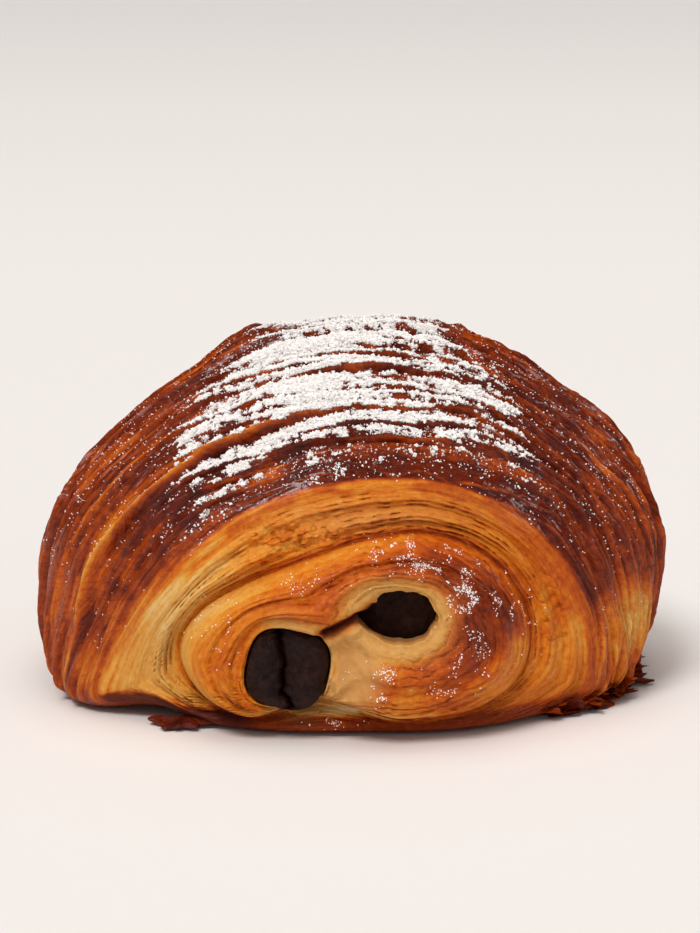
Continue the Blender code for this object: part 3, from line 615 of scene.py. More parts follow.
def doughSurface():
    soleFrom, soleTo = meshing["soleFrom"], meshing["soleTo"]
    upper = np.linspace(soleTo - 360.0, soleFrom, meshing["upperSpokes"], endpoint=False)
    sole = np.linspace(soleFrom, soleTo, meshing["soleSpokes"], endpoint=False)
    spokes = np.radians(np.concatenate([upper, sole]))
    edge = crustDip(spokes)[None]
    quarter = math.pi / 2.0

    def rings(start, end, count):
        return start + (end - start) * (np.arange(count) / count)[:, None]

    dips = np.concatenate(
        [
            rings(meshing["poleDip"], edge, meshing["faceRings"]),
            rings(edge, quarter, meshing["crustRings"]),
            rings(quarter, math.pi - edge, meshing["backCrustRings"]),
            rings(math.pi - edge, math.pi - meshing["poleDip"], meshing["backFaceRings"]),
            np.full((1, len(spokes)), math.pi - meshing["poleDip"]),
        ]
    )
    spoke = np.broadcast_to(spokes[None], dips.shape)
    direction = directionOf(spoke, dips)
    place = np.array(loaf["spine"]) + direction * loafReach(direction)[..., None]
    fromFront = np.minimum(dips, math.pi - dips)
    hoop = (fromFront - edge) / (quarter - edge)
    onEnd = 1.0 - smoothStep(fromFront / edge, 0.80, 1.02)
    hoopThrough = np.where(dips < quarter, hoop, 2.0 - hoop)

    relief = np.zeros(dips.shape)
    fields = {}
    ends = fromFront < edge * 1.05
    x, z, side = place[..., 0][ends], place[..., 2][ends], np.where(dips < quarter, 0.0, backShift)[ends]
    endRelief, *endFields = cutEndRelief(x, z, spoke[ends], side)
    crust, crustTone, ridge, across = crustRelief(spoke, hoopThrough, place)
    crust = crust * smoothStep(hoop, -0.05, 0.12)
    onFace = 1.0 - smoothStep(fromFront / edge, 0.985, 1.03)
    relief[ends] = endRelief * onEnd[ends]
    relief = relief + crust
    for name, values in zip(("bake", "gloss", "streaks", "across", "rawAndShaded"), endFields):
        fields[name] = np.zeros(dips.shape)
        fields[name][ends] = values
    fields["bake"] = blend(crustTone, fields["bake"], onFace)
    fields["gloss"] = blend(1.0, fields["gloss"], onFace)
    fields["streaks"] = blend(0.62, fields["streaks"], onFace)
    fields["across"] = np.where(fromFront < edge, fields["across"], across)
    fields["rawAndShaded"] = fields["rawAndShaded"] * onFace
    fields["grainX"], fields["grainZ"] = grainRadius * np.cos(spoke), grainRadius * np.sin(spoke)

    facing = np.zeros_like(direction)
    facing[..., 1] = np.sign(direction[..., 1])
    outward = facing * onEnd[..., None] + direction * (1.0 - onEnd[..., None])
    offTray = smoothStep(place[..., 2], 0.0006, 0.0040)
    place = settle(place + outward * (relief * offTray)[..., None])
    normal = gridNormals(place)
    underneath = smoothStep(-normal[..., 2], 0.75, 0.95)
    fields["bake"] = blend(fields["bake"], skinBake["sole"], underneath)
    fields["gloss"] = fields["gloss"] * (1.0 - 0.7 * underneath)

    fall = sugarFall(place) * (1.0 - onFace) * smoothStep(normal[..., 2], 0.05, 0.40)
    x, y = place[..., 0], place[..., 1]
    slanted = lumpsAt((x + 0.6 * y) / 0.015, (y - 0.35 * x) / 0.0030, 0.0, 38)
    clumps = 0.12 * lumps(place / 0.0055, 31) + 0.16 * slanted + 0.15 * lumps(place / 0.0016, 32)
    clumps += 0.12 * grainLumps(spoke, across, 0.0005, 0.0026, 37)
    drift = 0.8 * ridge + clumps + 0.30 * lumps(place / 0.0008, 36) + 0.10 * normal[..., 2]
    for heapX, heapY, reach, more in sugarBand["heaps"]:
        drift += more * bell(np.hypot(x * 1000.0 - heapX, y * 1000.0 - heapY), reach)
    level = np.quantile(drift[fall > 0.5], 1.0 - sugarBand["coverage"])
    fields["sugar"] = np.clip(fall * smoothStep(drift - level + 0.20 * (fall - 1.0), -0.05, 0.09), 0.0, 1.0)
    heap = np.clip(0.5 + 0.8 * lumps(place / 0.0016, 39) + 0.5 * lumps(place / 0.0008, 40), 0.0, 1.6)
    depth = fields["sugar"] * (sugarBand["thinnest"] + sugarBand["thickness"] * heap)
    place = place + normal * depth[..., None]
    normal = gridNormals(place)
    return {"place": place, "normal": normal, "fields": fields, "onFace": onFace, "fall": fall}


def linear(hexColour):
    channels = [int(hexColour[i : i + 2], 16) / 255.0 for i in (1, 3, 5)]
    return tuple(c / 12.92 if c <= 0.04045 else ((c + 0.055) / 1.055) ** 2.4 for c in channels) + (1.0,)


def setInputs(tree, node, inputs):
    for name, value in inputs.items():
        if isinstance(value, bpy.types.NodeSocket):
            tree.links.new(value, node.inputs[name])
        else:
            node.inputs[name].default_value = value


def addNode(tree, kind, settings=None, inputs=None):
    node = tree.nodes.new("ShaderNode" + kind)
    for name, value in (settings or {}).items():
        setattr(node, name, value)
    setInputs(tree, node, inputs or {})
    return node


def calc(tree, operation, *values, clamp=False):
    settings = {"operation": operation, "use_clamp": clamp}
    return addNode(tree, "Math", settings, dict(enumerate(values))).outputs[0]


def remap(tree, value, start, end, low=0.0, high=1.0, smooth=False):
    inputs = {"Value": value, "From Min": start, "From Max": end, "To Min": low, "To Max": high}
    settings = {"interpolation_type": "SMOOTHSTEP" if smooth else "LINEAR"}
    return addNode(tree, "MapRange", settings, inputs).outputs[0]


def mixColours(tree, share, first, second):
    return addNode(tree, "Mix", {"data_type": "RGBA"}, {0: share, 6: first, 7: second}).outputs[2]


def millimetres(tree, vector, sizes):
    # coordinates in which one unit is the given length along each axis
    scale = tuple(1000.0 / size for size in sizes)
    return addNode(tree, "VectorMath", {"operation": "MULTIPLY"}, {0: vector, 1: scale}).outputs[0]


def noise(tree, vector, sizes, detail, roughness=0.5):
    scaled = millimetres(tree, vector, sizes)
    inputs = {"Vector": scaled, "Scale": 1.0, "Detail": detail, "Roughness": roughness}
    return addNode(tree, "TexNoise", None, inputs).outputs["Fac"]


def bumpFrom(tree, height, millimetresHigh):
    inputs = {"Strength": 1.0, "Distance": millimetresHigh / 1000.0, "Height": height}
    return addNode(tree, "Bump", None, inputs).outputs[0]


def newMaterial(name):
    material = bpy.data.materials.new(name)
    material.use_nodes = True
    tree = material.node_tree
    position = addNode(tree, "TexCoord").outputs["Object"]
    return material, tree, tree.nodes["Principled BSDF"], position


def rampColour(tree, share, stops):
    node = addNode(tree, "ValToRGB", None, {"Fac": share})
    ramp = node.color_ramp
    while len(ramp.elements) < len(stops):
        ramp.elements.new(0.5)
    for element, (position, colour) in zip(ramp.elements, stops):
        element.position = position
        element.color = linear(colour)
    return node.outputs[0]


# Laminated butter dough, egg-washed and baked. The oven turns it from cream through orange to mahogany, and the
# wash dries to a crackled gloss on the crust. Lengths are in millimetres.
doughLook = {
    "tones": (
        (0.00, "#f2dcab"), (0.16, "#e8c07c"), (0.30, "#dfa044"), (0.44, "#d67c1c"), (0.56, "#c0560d"),
        (0.68, "#983806"), (0.80, "#681f07"), (0.90, "#521508"), (1.00, "#340d06"),
    ),
    "ribbonSize": (9.0, 9.0, 0.8),
    "ribbonTone": 0.26,
    "threadSize": (4.4, 4.4, 0.23),
    "threadTone": 0.32,
    "fleckSize": (0.9, 0.9, 0.9),
    "fleckTone": 0.26,
    "crackleSize": (1.1, 1.1, 2.6),
    "crackleTone": 0.05,
    "cracklePatch": (7.0, 7.0, 7.0),
    "glazedRoughness": 0.25,
    "crumbRoughness": 0.66,
    "gleam": 0.12,
    "coat": 0.20,
    "coatRoughness": 0.15,
    "fleckRoughness": 0.35,
    "sugarRoughness": 0.60,
    "bumpHeight": 0.36,
    # a dull, darker cream: partly pale steamed dough, partly painted shade
    "steamedShadedCream": "#bf9058",
    "steamedShadedShare": 0.75,
    "sugar": "#f7f1ee",
    "gritSize": 0.40,
}  # fmt: skip


def doughMaterial():
    material, tree, shader, position = newMaterial("bakedLaminatedDough")
    look = doughLook
    names = ("grainX", "grainZ", "across", "bake", "gloss", "streaks", "sugar", "rawAndShaded")
    read = {name: addNode(tree, "Attribute", {"attribute_name": name}).outputs["Fac"] for name in names}
    inputs = {0: read["grainX"], 1: read["grainZ"], 2: read["across"]}
    alongGrain = addNode(tree, "CombineXYZ", None, inputs).outputs[0]
    ribbons = noise(tree, alongGrain, look["ribbonSize"], 3.0, 0.6)
    threads = noise(tree, alongGrain, look["threadSize"], 3.0, 0.55)
    flecks = noise(tree, position, look["fleckSize"], 3.0, 0.65)
    splits = calc(tree, "COMPARE", noise(tree, alongGrain, look["crackleSize"], 2.0), 0.5, 0.022)
    glazed = remap(tree, read["gloss"], 0.75, 1.0, smooth=True)
    glazed = calc(tree, "MULTIPLY", noise(tree, position, look["cracklePatch"], 1.0), glazed)
    cracked = calc(tree, "MULTIPLY", splits, glazed)

    # each pattern shifts how far the dough is baked, and the ramp gives the colour. The bake attribute also
    # carries painted shade in seams, creases, pockets, the slit and the holes, and a painted highlight on the
    # crust's ribbon lips
    tone = read["bake"]
    for pattern, swing in ((ribbons, look["ribbonTone"]), (threads, look["threadTone"])):
        swing = calc(tree, "MULTIPLY", read["streaks"], swing)
        tone = calc(tree, "MULTIPLY_ADD", calc(tree, "SUBTRACT", pattern, 0.5), swing, tone)
    fleck = calc(tree, "SUBTRACT", flecks, 0.5)
    tone = calc(tree, "MULTIPLY_ADD", fleck, look["fleckTone"], tone)
    tone = calc(tree, "MULTIPLY_ADD", cracked, look["crackleTone"], tone)
    # the dull cream mixed in here is partly painted shade
    steamedShadedCream = calc(tree, "MULTIPLY", read["rawAndShaded"], look["steamedShadedShare"])
    crumbColour = mixColours(tree, steamedShadedCream, rampColour(tree, tone, look["tones"]), linear(look["steamedShadedCream"]))

    # sifted sugar covers the ridges, and breaks up grain by grain at its edge
    grit = noise(tree, position, (look["gritSize"],) * 3, 2.0, 0.6)
    dust = calc(tree, "MULTIPLY_ADD", read["sugar"], 0.5, grit)
    dust = remap(tree, dust, 0.74, 0.90, smooth=True)
    dust = calc(tree, "MULTIPLY", dust, remap(tree, read["sugar"], 0.02, 0.20))
    rough = remap(tree, read["gloss"], 0.0, 1.0, look["crumbRoughness"], look["glazedRoughness"])
    rough = calc(tree, "MULTIPLY_ADD", fleck, look["fleckRoughness"], rough)
    bare = calc(tree, "SUBTRACT", 1.0, dust, clamp=True)
    wash = calc(tree, "MULTIPLY", calc(tree, "MULTIPLY", read["gloss"], look["coat"]), bare)
    height = calc(tree, "MULTIPLY_ADD", flecks, 0.6, calc(tree, "MULTIPLY", threads, read["streaks"]))
    height = calc(tree, "MULTIPLY_ADD", cracked, -0.50, height)
    height = calc(tree, "MULTIPLY_ADD", dust, calc(tree, "MULTIPLY_ADD", grit, 2.0, 0.4), height)
    surfaceInputs = {
        "Base Color": mixColours(tree, dust, crumbColour, linear(look["sugar"])),
        "Roughness": calc(tree, "MULTIPLY_ADD", dust, look["sugarRoughness"], rough, clamp=True),
        "Specular IOR Level": look["gleam"],
        "Coat Weight": wash,
        "Coat Roughness": look["coatRoughness"],
        "Normal": bumpFrom(tree, height, look["bumpHeight"]),
    }
    setInputs(tree, shader, surfaceInputs)
    return material


def circle(spokes):
    return np.linspace(0.0, 2.0 * math.pi, spokes, endpoint=False)


def turned(side, rise, degrees):
    turn = math.radians(degrees)
    return side * math.cos(turn) - rise * math.sin(turn), side * math.sin(turn) + rise * math.cos(turn)


def squaredCircle(angle, stick):
    # the outline of a stick, X and Z, with half a width and half a height of 1
    power = stick["squareness"]
    radius = (np.abs(np.cos(angle)) ** power + np.abs(np.sin(angle)) ** power) ** (-1.0 / power)
    return radius * np.cos(angle), radius * np.sin(angle)


def quads(index):
    beside = np.roll(index, -1, axis=1)
    return np.stack([index[:-1], index[1:], beside[1:], beside[:-1]], axis=-1).reshape(-1, 4)


def closedFaces(rows, columns):
    # rings of quads, and a fan over each end round the two points that follow the rings
    index = np.arange(rows * columns).reshape(rows, columns)
    first, last = index[0], index[-1]
    start = np.stack([first, np.roll(first, -1), np.full(columns, rows * columns)], axis=-1)
    end = np.stack([np.roll(last, -1), last, np.full(columns, rows * columns + 1)], axis=-1)
    return [quads(index), start, end]


def makePiece(name, points, faceSets, material, fields=None, normals=None, smooth=True):
    mesh = bpy.data.meshes.new(name)
    counts = np.concatenate([np.full(len(faces), faces.shape[1]) for faces in faceSets])
    corners = np.concatenate([faces.ravel() for faces in faceSets])
    mesh.vertices.add(len(points))
    mesh.vertices.foreach_set("co", np.asarray(points, dtype=np.float32).ravel())
    mesh.loops.add(len(corners))
    mesh.loops.foreach_set("vertex_index", corners.astype(np.int32))
    mesh.polygons.add(len(counts))
    mesh.polygons.foreach_set("loop_start", np.concatenate([[0], np.cumsum(counts)[:-1]]).astype(np.int32))
    mesh.update(calc_edges=True)
    mesh.polygons.foreach_set("use_smooth", np.full(len(counts), smooth))
    for field, values in (fields or {}).items():
        attribute = mesh.attributes.new(field, "FLOAT", "POINT")
        attribute.data.foreach_set("value", values.astype(np.float32).ravel())
    if normals is not None:
        mesh.normals_split_custom_set_from_vertices(normals.reshape(-1, 3).tolist())
    mesh.materials.append(material)
    made = bpy.data.objects.new(name, mesh)
    bpy.context.scene.collection.objects.link(made)
    return made


def doughPiece(name, surface, first, last, material, startAt=None, endAt=None):
    # a stretch of the dough's skin from one ring to another, closed inside the loaf or over a pole
    place, normal = surface["place"][first : last + 1], surface["normal"][first : last + 1]
    ends = [loaf["spine"] if startAt is None else startAt, loaf["spine"] if endAt is None else endAt]
    points = np.concatenate([place.reshape(-1, 3), ends])
    normals = np.concatenate([normal.reshape(-1, 3), [[0.0, -1.0, 0.0], [0.0, 1.0, 0.0]]])
    fields = {}
    for field, values in surface["fields"].items():
        part = values[first : last + 1].ravel()
        fields[field] = np.concatenate([part, [part[0], part[-1]]])
    piece = makePiece(name, points, closedFaces(*place.shape[:2]), material, fields, normals)
    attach(piece, "root")
    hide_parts("pastry")


# The lip of each stick's hole: a smooth round collar, because the dough's own rings run across its edge.
holeLip = {
    "spokes": 300,
    "lipRings": 14,
    "wallRings": 8,
    "reach": 0.0015,
    "proud": 0.00010,
    "depth": 0.0090,
    "grain": 0.00020,
    "clear": 0.00006,
    "least": 0.00012,
    "tuck": 0.0005,
    "bake": 0.30,
    # the angles, in radians, at which the hole is drawn in to a point, and the one at which the slit meets it
    "pointsAt": ((2.5, 1.1), (3.9, 0.6)),
    "slitAt": 3.35,
    "slitSpread": 0.30,
}


def faceSurface(x, z, side):
    # where the cut end lies in depth at each X and Z, front for -1 and back for 1
    spine = np.array(loaf["spine"])
    y = np.full_like(x, side * 0.042)
    for _ in range(14):
        away = np.stack([x - spine[0], y, z - spine[2]], axis=-1)
        length = np.linalg.norm(away, axis=-1)
        y = y * loafReach(away / length[..., None]) / length
    spoke = np.arctan2(z - spine[2], x - spine[0])
    relief, *_ = cutEndRelief(x.ravel(), z.ravel(), spoke.ravel(), 0.0 if side < 0.0 else backShift)
    return y + side * relief.reshape(x.shape)


def holeOutline(stick, angle, beyond):
    wide, tall = squaredCircle(angle, stick)
    grow = 1.0 + beyond / min(stick["half"])
    x, z = turned(stick["half"][0] * grow * wide, stick["half"][1] * grow * tall, stick["tilt"])
    return stick["at"][0] + x, stick["at"][1] + z


def holePinch(stick, angle):
    # how far the torn edge of the hole leans in over it
    waver = lumpsAt(np.cos(angle) * 1.9, np.sin(angle) * 1.9, stick["at"][0] * 900.0, 64)
    waver += 0.5 * lumpsAt(np.cos(angle) * 5.0, np.sin(angle) * 5.0, 0.0, 65)
    pointed = sum(share * np.maximum(np.cos(angle - at), 0.0) ** 3 for at, share in holeLip["pointsAt"])
    notch = bell(angle - holeLip["slitAt"], holeLip["slitSpread"])
    return stick["pinch"] * (0.45 + 0.45 * waver + pointed) * (1.0 - 0.9 * notch)


def holeCollar(name, stick, side, material):
    spokes = holeLip["spokes"] if side < 0.0 else holeLip["spokes"] // 2
    angle = circle(spokes)
    reach = holeLip["reach"]
    out = np.concatenate([reach * np.linspace(0.0, 1.0, holeLip["lipRings"]) ** 1.5, [reach * 1.2]])[:, None]
    share = out / reach
    inner = np.clip(1.0 - share, 0.0, 1.0)
    pinch = holePinch(stick, angle)
    y = faceSurface(*holeOutline(stick, angle, np.maximum(out, holeLip["least"])), side)
    x, z = holeOutline(stick, angle, out + holeLip["clear"] - pinch * inner)
    place = np.stack([x, y, z], axis=-1)
    crumb = lumps(place / 0.0009, 61) + 0.6 * lumps(place / 0.0004, 62)
    y = y + side * (holeLip["proud"] * (1.0 - share) - holeLip["tuck"] * smoothStep(share, 0.75, 1.2))
    y = y + side * (holeLip["grain"] * crumb * (1.0 - 0.8 * share) - 0.9 * pinch * inner**2)
    wall = holeLip["depth"] * np.linspace(1.0, 0.0, holeLip["wallRings"], endpoint=False)[:, None] ** 2
    inward = np.stack(np.broadcast_arrays(x[0], y[0] - side * wall, z[0]), axis=-1)
    rings = np.concatenate([inward, np.stack([x, y, z], axis=-1)])
    index = np.arange(rings.shape[0] * spokes).reshape(-1, spokes)
    faces = quads(np.concatenate([index, index[:1]]))

    depth = np.concatenate([wall, np.zeros_like(share)])
    lit = np.broadcast_to(1.0 - smoothStep(depth, 0.0010, 0.0030), rings.shape[:2])
    onLeft = smoothStep(-rings[..., 0], 0.0105, 0.0150)
    outward = np.concatenate([np.zeros_like(wall), share]) + 0.3 * lumps(rings / 0.0022, 66)
    pale = holeLip["bake"] + 0.18 * onLeft + 0.10 * smoothStep(outward, 0.3, 1.0)
    pale = pale + 0.06 * lumps(rings / 0.0015, 63)
    nearSlit = bell(distanceToSlit(rings[..., 0], rings[..., 2]), 0.00080)
    # painted shade: the wall is painted dark below its first millimetre or two, with painted shadow where it
    # meets the slit
    fields = {"bake": blend(blend(skinBake["holeWallShade"], pale, lit), endBake["slit"], nearSlit)}
    fields.update(gloss=0.1 * lit, streaks=0.1 * lit, sugar=np.zeros(lit.shape))
    fields["rawAndShaded"] = 0.75 * (1.0 - onLeft) * (1.0 - nearSlit)
    fields["grainX"], fields["grainZ"], fields["across"] = rings[..., 0], rings[..., 2], rings[..., 1]
    piece = makePiece(name, rings.reshape(-1, 3), [faces if side < 0.0 else faces[:, ::-1]], material, fields)
    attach(piece, "root")


surface = doughSurface()
dough = doughMaterial()
faceEnd = meshing["faceRings"]
crustEnd = faceEnd + meshing["crustRings"]
backEnd = crustEnd + meshing["backCrustRings"]
lastRing = len(surface["place"]) - 1
frontPole, backPole = surface["place"][0].mean(axis=0), surface["place"][lastRing].mean(axis=0)
doughPiece("cutEndFront", surface, 0, faceEnd, dough, startAt=frontPole)
doughPiece("crustFront", surface, faceEnd, crustEnd, dough)
doughPiece("crustBack", surface, crustEnd, backEnd, dough)
doughPiece("cutEndBack", surface, backEnd, lastRing, dough, endAt=backPole)
for stickName, stick in sticks.items():
    holeCollar(stickName + "_frontLip", stick, -1.0, dough)
    holeCollar(stickName + "_backLip", stick, 1.0, dough)
print("dough made")

# Dark chocolate that softened in the oven and set again: satin, with a faint bloom and fine pits.
chocolateLook = {
    "tones": ((0.18, "#180604"), (0.42, "#34180f")),
    "roughness": 0.48,
    "unevenRoughness": 0.22,
    "gleam": 0.14,
    "bloomSize": 4.0,
    "pitSize": 0.8,
    "bumpHeight": 0.45,
}


def chocolateMaterial():
    material, tree, shader, position = newMaterial("bakedDarkChocolate")
    look = chocolateLook
    bloom, pits = (noise(tree, position, (look[size],) * 3, 5.0, 0.65) for size in ("bloomSize", "pitSize"))
    uneven = look["unevenRoughness"]
    surfaceInputs = {
        "Base Color": rampColour(tree, calc(tree, "MULTIPLY", bloom, pits), look["tones"]),
        "Roughness": calc(tree, "MULTIPLY_ADD", pits, uneven, look["roughness"] - uneven / 2.0),
        "Specular IOR Level": look["gleam"],
        "Normal": bumpFrom(tree, pits, look["bumpHeight"]),
    }
    setInputs(tree, shader, surfaceInputs)
    return material


stickMesh = {
    "spokes": 150,
    "domeRings": 48,
    "shaftRings": 8,
    "gap": 0.0003,
    "grain": 0.00026,
    "dentReach": 0.0019,
    "crackWidth": 0.00022,
    "cleft": 0.0008,
}


def crackDepth(x, z, stick):
    # a jagged split between two swollen halves
    if not stick["crack"]:
        return np.zeros_like(x)
    wander = 0.0006 * lumpsAt(z / 0.0017, 0.0, 0.0, 42) + 0.00025 * lumpsAt(z / 0.0006, 0.0, 0.0, 43)
    off = np.abs(x + 0.09 * z + 0.0004 - wander)
    return stick["crack"] * np.exp(-off / stickMesh["crackWidth"]) + stickMesh["cleft"] * bell(off, 0.0016)


def chocolateStick(name, stick, material):
    spokes, domeRings = stickMesh["spokes"], stickMesh["domeRings"]
    wide, tall = squaredCircle(circle(spokes), stick)
    halfWidth, halfHeight = (half - stickMesh["gap"] for half in stick["half"])
    side, rise = turned(halfWidth * wide, halfHeight * tall, stick["tilt"])
    shares = np.sin(np.arange(1, domeRings + 1) / domeRings * math.pi / 2.0)[:, None]
    x, z = side * shares, rise * shares
    dome = stick["dome"] * (np.sqrt(np.maximum(0.0, 1.0 - shares**2)) - 1.0)
    dent = bell(np.hypot(x - stick["dentAt"][0], z - stick["dentAt"][1]), stickMesh["dentReach"])
    depth = crackDepth(x, z, stick) * smoothStep(1.0 - shares, 0.0, 0.08) + stick["dent"] * dent
    rings = []
    for end, outward in ((stick["front"], -1.0), (stick["back"], 1.0)):
        grain = lumpsAt(x / 0.0010, z / 0.0010, end, 41) + 1.4 * lumpsAt(x / 0.0026, z / 0.0026, end, 44)
        cap = np.stack([x, end + outward * (dome - depth + stickMesh["grain"] * grain), z], axis=-1)
        rings.append(cap if outward < 0.0 else cap[::-1])
    shaftY = np.linspace(stick["front"] + 0.003, stick["back"] - 0.003, stickMesh["shaftRings"])
    shaft = np.stack(np.broadcast_arrays(side, shaftY[:, None], rise), axis=-1)
    grid = np.concatenate([rings[0], shaft, rings[1]]) + np.array([stick["at"][0], 0.0, stick["at"][1]])
    points = np.concatenate([grid.reshape(-1, 3), [grid[0].mean(axis=0), grid[-1].mean(axis=0)]])
    piece = makePiece(name + "_chocolate", points, closedFaces(len(grid), spokes), material)
    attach(piece, "root")
    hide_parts(name)


chocolate = chocolateMaterial()
for stickName, stick in sticks.items():
    chocolateStick(stickName, stick, chocolate)
print("chocolate made")

# Icing sugar: grains in clumps on the ridges of the crown, and specks that fell elsewhere.
sugarLook = {
    "tones": ((0.25, "#f3ebe6"), (0.60, "#fdf9f6")),
    "roughness": 0.85,
    "clumpSize": 1.2,
    "dense": 22000,
    "specks": 12500,
    "grain": (0.00009, 0.00024),
    "coarseShare": 0.14,
    "coarser": 1.7,
    "buried": 0.35,
    "seed": 5,
}


def sugarMaterial():
    material, tree, shader, position = newMaterial("siftedIcingSugar")
    clump = noise(tree, position, (sugarLook["clumpSize"],) * 3, 2.0, 0.6)
    rough = calc(tree, "MULTIPLY_ADD", clump, 0.2, sugarLook["roughness"] - 0.1)
    setInputs(tree, shader, {"Base Color": rampColour(tree, clump, sugarLook["tones"]), "Roughness": rough})
    return material


def pickSpots(surface, density, count, rng):
    place = surface["place"]
    beside = np.roll(place, -1, axis=1)
    area = np.linalg.norm(np.cross(place[1:] - place[:-1], beside[:-1] - place[:-1]), axis=-1)
    weight = (area * density[:-1]).ravel()
    cell = rng.choice(len(weight), size=count, p=weight / weight.sum())
    row, column = np.divmod(cell, place.shape[1])
    onward, sideways = rng.random((count, 1)), rng.random((count, 1))
    spot = place[row, column] * (1 - sideways) * (1 - onward) + beside[row, column] * sideways * (1 - onward)
    spot = spot + place[row + 1, column] * (1 - sideways) * onward + beside[row + 1, column] * sideways * onward
    return spot, surface["normal"][row, column]


def sugarGrains(name, spot, normal, sizes, rng, material):
    # each grain is an uneven eight-faced crystal, turned at random
    count = len(spot)
    quaternion = rng.normal(size=(count, 4))
    quaternion /= np.linalg.norm(quaternion, axis=1, keepdims=True)
    w, x, y, z = quaternion.T
    turn = np.stack(
        [
            np.stack([1 - 2 * (y * y + z * z), 2 * (x * y - z * w), 2 * (x * z + y * w)], axis=-1),
            np.stack([2 * (x * y + z * w), 1 - 2 * (x * x + z * z), 2 * (y * z - x * w)], axis=-1),
            np.stack([2 * (x * z - y * w), 2 * (y * z + x * w), 1 - 2 * (x * x + y * y)], axis=-1),
        ],
        axis=1,
    )
    corners = np.array([[1, 0, 0], [-1, 0, 0], [0, 1, 0], [0, -1, 0], [0, 0, 1], [0, 0, -1]], dtype=float)
    stretch = rng.uniform(0.55, 1.45, (count, 6, 1)) * sizes[:, None, None]
    lift = normal[:, None] * sizes[:, None, None] * sugarLook["buried"]
    points = np.einsum("nij,kj->nki", turn, corners) * stretch + spot[:, None] + lift
    sides = np.array([[0, 2, 4], [2, 1, 4], [1, 3, 4], [3, 0, 4], [2, 0, 5], [1, 2, 5], [3, 1, 5], [0, 3, 5]])
    faces = (sides[None] + 6 * np.arange(count)[:, None, None]).reshape(-1, 3)
    piece = makePiece(name, points.reshape(-1, 3), [faces], material, smooth=False)
    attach(piece, "root")


def faceSugar(surface):
    # sugar that reached the inner turn: a trail over its right shoulder, and some on the tongue
    x, y, z = (surface["place"][..., i] * 1000.0 for i in range(3))
    marks = (
        (6, 29.2, 3, 1.3, 0.7), (11.5, 27.2, 3, 1.8, 1), (16, 23.5, 2.6, 2.4, 1),
        (19, 19, 2.4, 3, 0.7), (17, 13.5, 2.2, 2.2, 0.5), (14, 9.5, 2.6, 1.6, 0.5),
        (3.2, 9.6, 2.4, 1.8, 1.5), (6.5, 12.6, 3.4, 1, 0.4), (-17.5, 16, 4, 5, 0.10),
        (-8, 24.5, 7, 1.6, 0.08), (-3, 2.2, 3, 0.9, 0.5), (24, 17, 3.5, 6, 0.12),
    )  # fmt: skip
    total = np.zeros_like(x)
    for markX, markZ, reachX, reachZ, level in marks:
        total += level * bell(np.hypot((x - markX) / reachX, (z - markZ) / reachZ))
    clumps = lumps(surface["place"] / 0.0014, 33)
    upward = smoothStep(surface["normal"][..., 2], -0.25, 0.5)
    return total * smoothStep(clumps, -0.1, 0.7) * surface["onFace"] * (y < 0.0) * (0.25 + upward)


def dustWithSugar(surface):
    rng = np.random.default_rng(sugarLook["seed"])
    sugar = sugarMaterial()
    low, high = sugarLook["grain"]
    behind = smoothStep(surface["place"][..., 1], -0.004, 0.006)
    dense = surface["fields"]["sugar"] ** 1.5 * (1.0 - 0.7 * behind)
    spot, normal = pickSpots(surface, dense, sugarLook["dense"], rng)
    sizes = rng.uniform(low, high, len(spot))
    sizes *= np.where(rng.random(len(spot)) < sugarLook["coarseShare"], sugarLook["coarser"], 1.0)
    sugarGrains("icingSugarBand", spot, normal, sizes, rng, sugar)
    x, z = surface["place"][..., 0] * 1000.0, surface["place"][..., 2] * 1000.0
    nearBand = bell(x - 2.0, 38.0) * smoothStep(z, 8.0, 30.0)
    around = (1.0 - surface["onFace"]) * (0.16 + nearBand) * smoothStep(z, 2.0, 12.0)
    around = around * smoothStep(surface["normal"][..., 2], -0.1, 0.5)
    density = 0.07 * around + 2.3 * faceSugar(surface) + 0.12 * surface["fall"]
    spot, normal = pickSpots(surface, density, sugarLook["specks"], rng)
    sizes = rng.uniform(low * 0.8, high * 0.66, len(spot))
    sugarGrains("icingSugarSpecks", spot, normal, sizes, rng, sugar)


dustWithSugar(surface)
print("sugar made")

# Torn scales of crust round the sole: centre, turn and tilt in degrees, length, width and thickness.
scales = (
    ((-0.0262, -0.0352, 0.0009), -12.0, 6.0, (0.0090, 0.0050, 0.0011)),
    ((0.0420, 0.0030, 0.0042), 12.0, 24.0, (0.0100, 0.0060, 0.0013)),
    ((0.0400, -0.0075, 0.0022), 8.0, 14.0, (0.0110, 0.0062, 0.0014)),
    ((0.0384, -0.0165, 0.0016), -6.0, 10.0, (0.0110, 0.0058, 0.0014)),
    ((0.0335, -0.0240, 0.0012), -20.0, 6.0, (0.0100, 0.0052, 0.0013)),
    ((0.0280, 0.0325, 0.0011), 130.0, 5.0, (0.0100, 0.0050, 0.0012)),
)


scaleMesh = {"spokes": 120, "rows": 16, "curl": 0.10, "wave": 0.0003, "fine": 0.00022, "coarse": 0.00050}


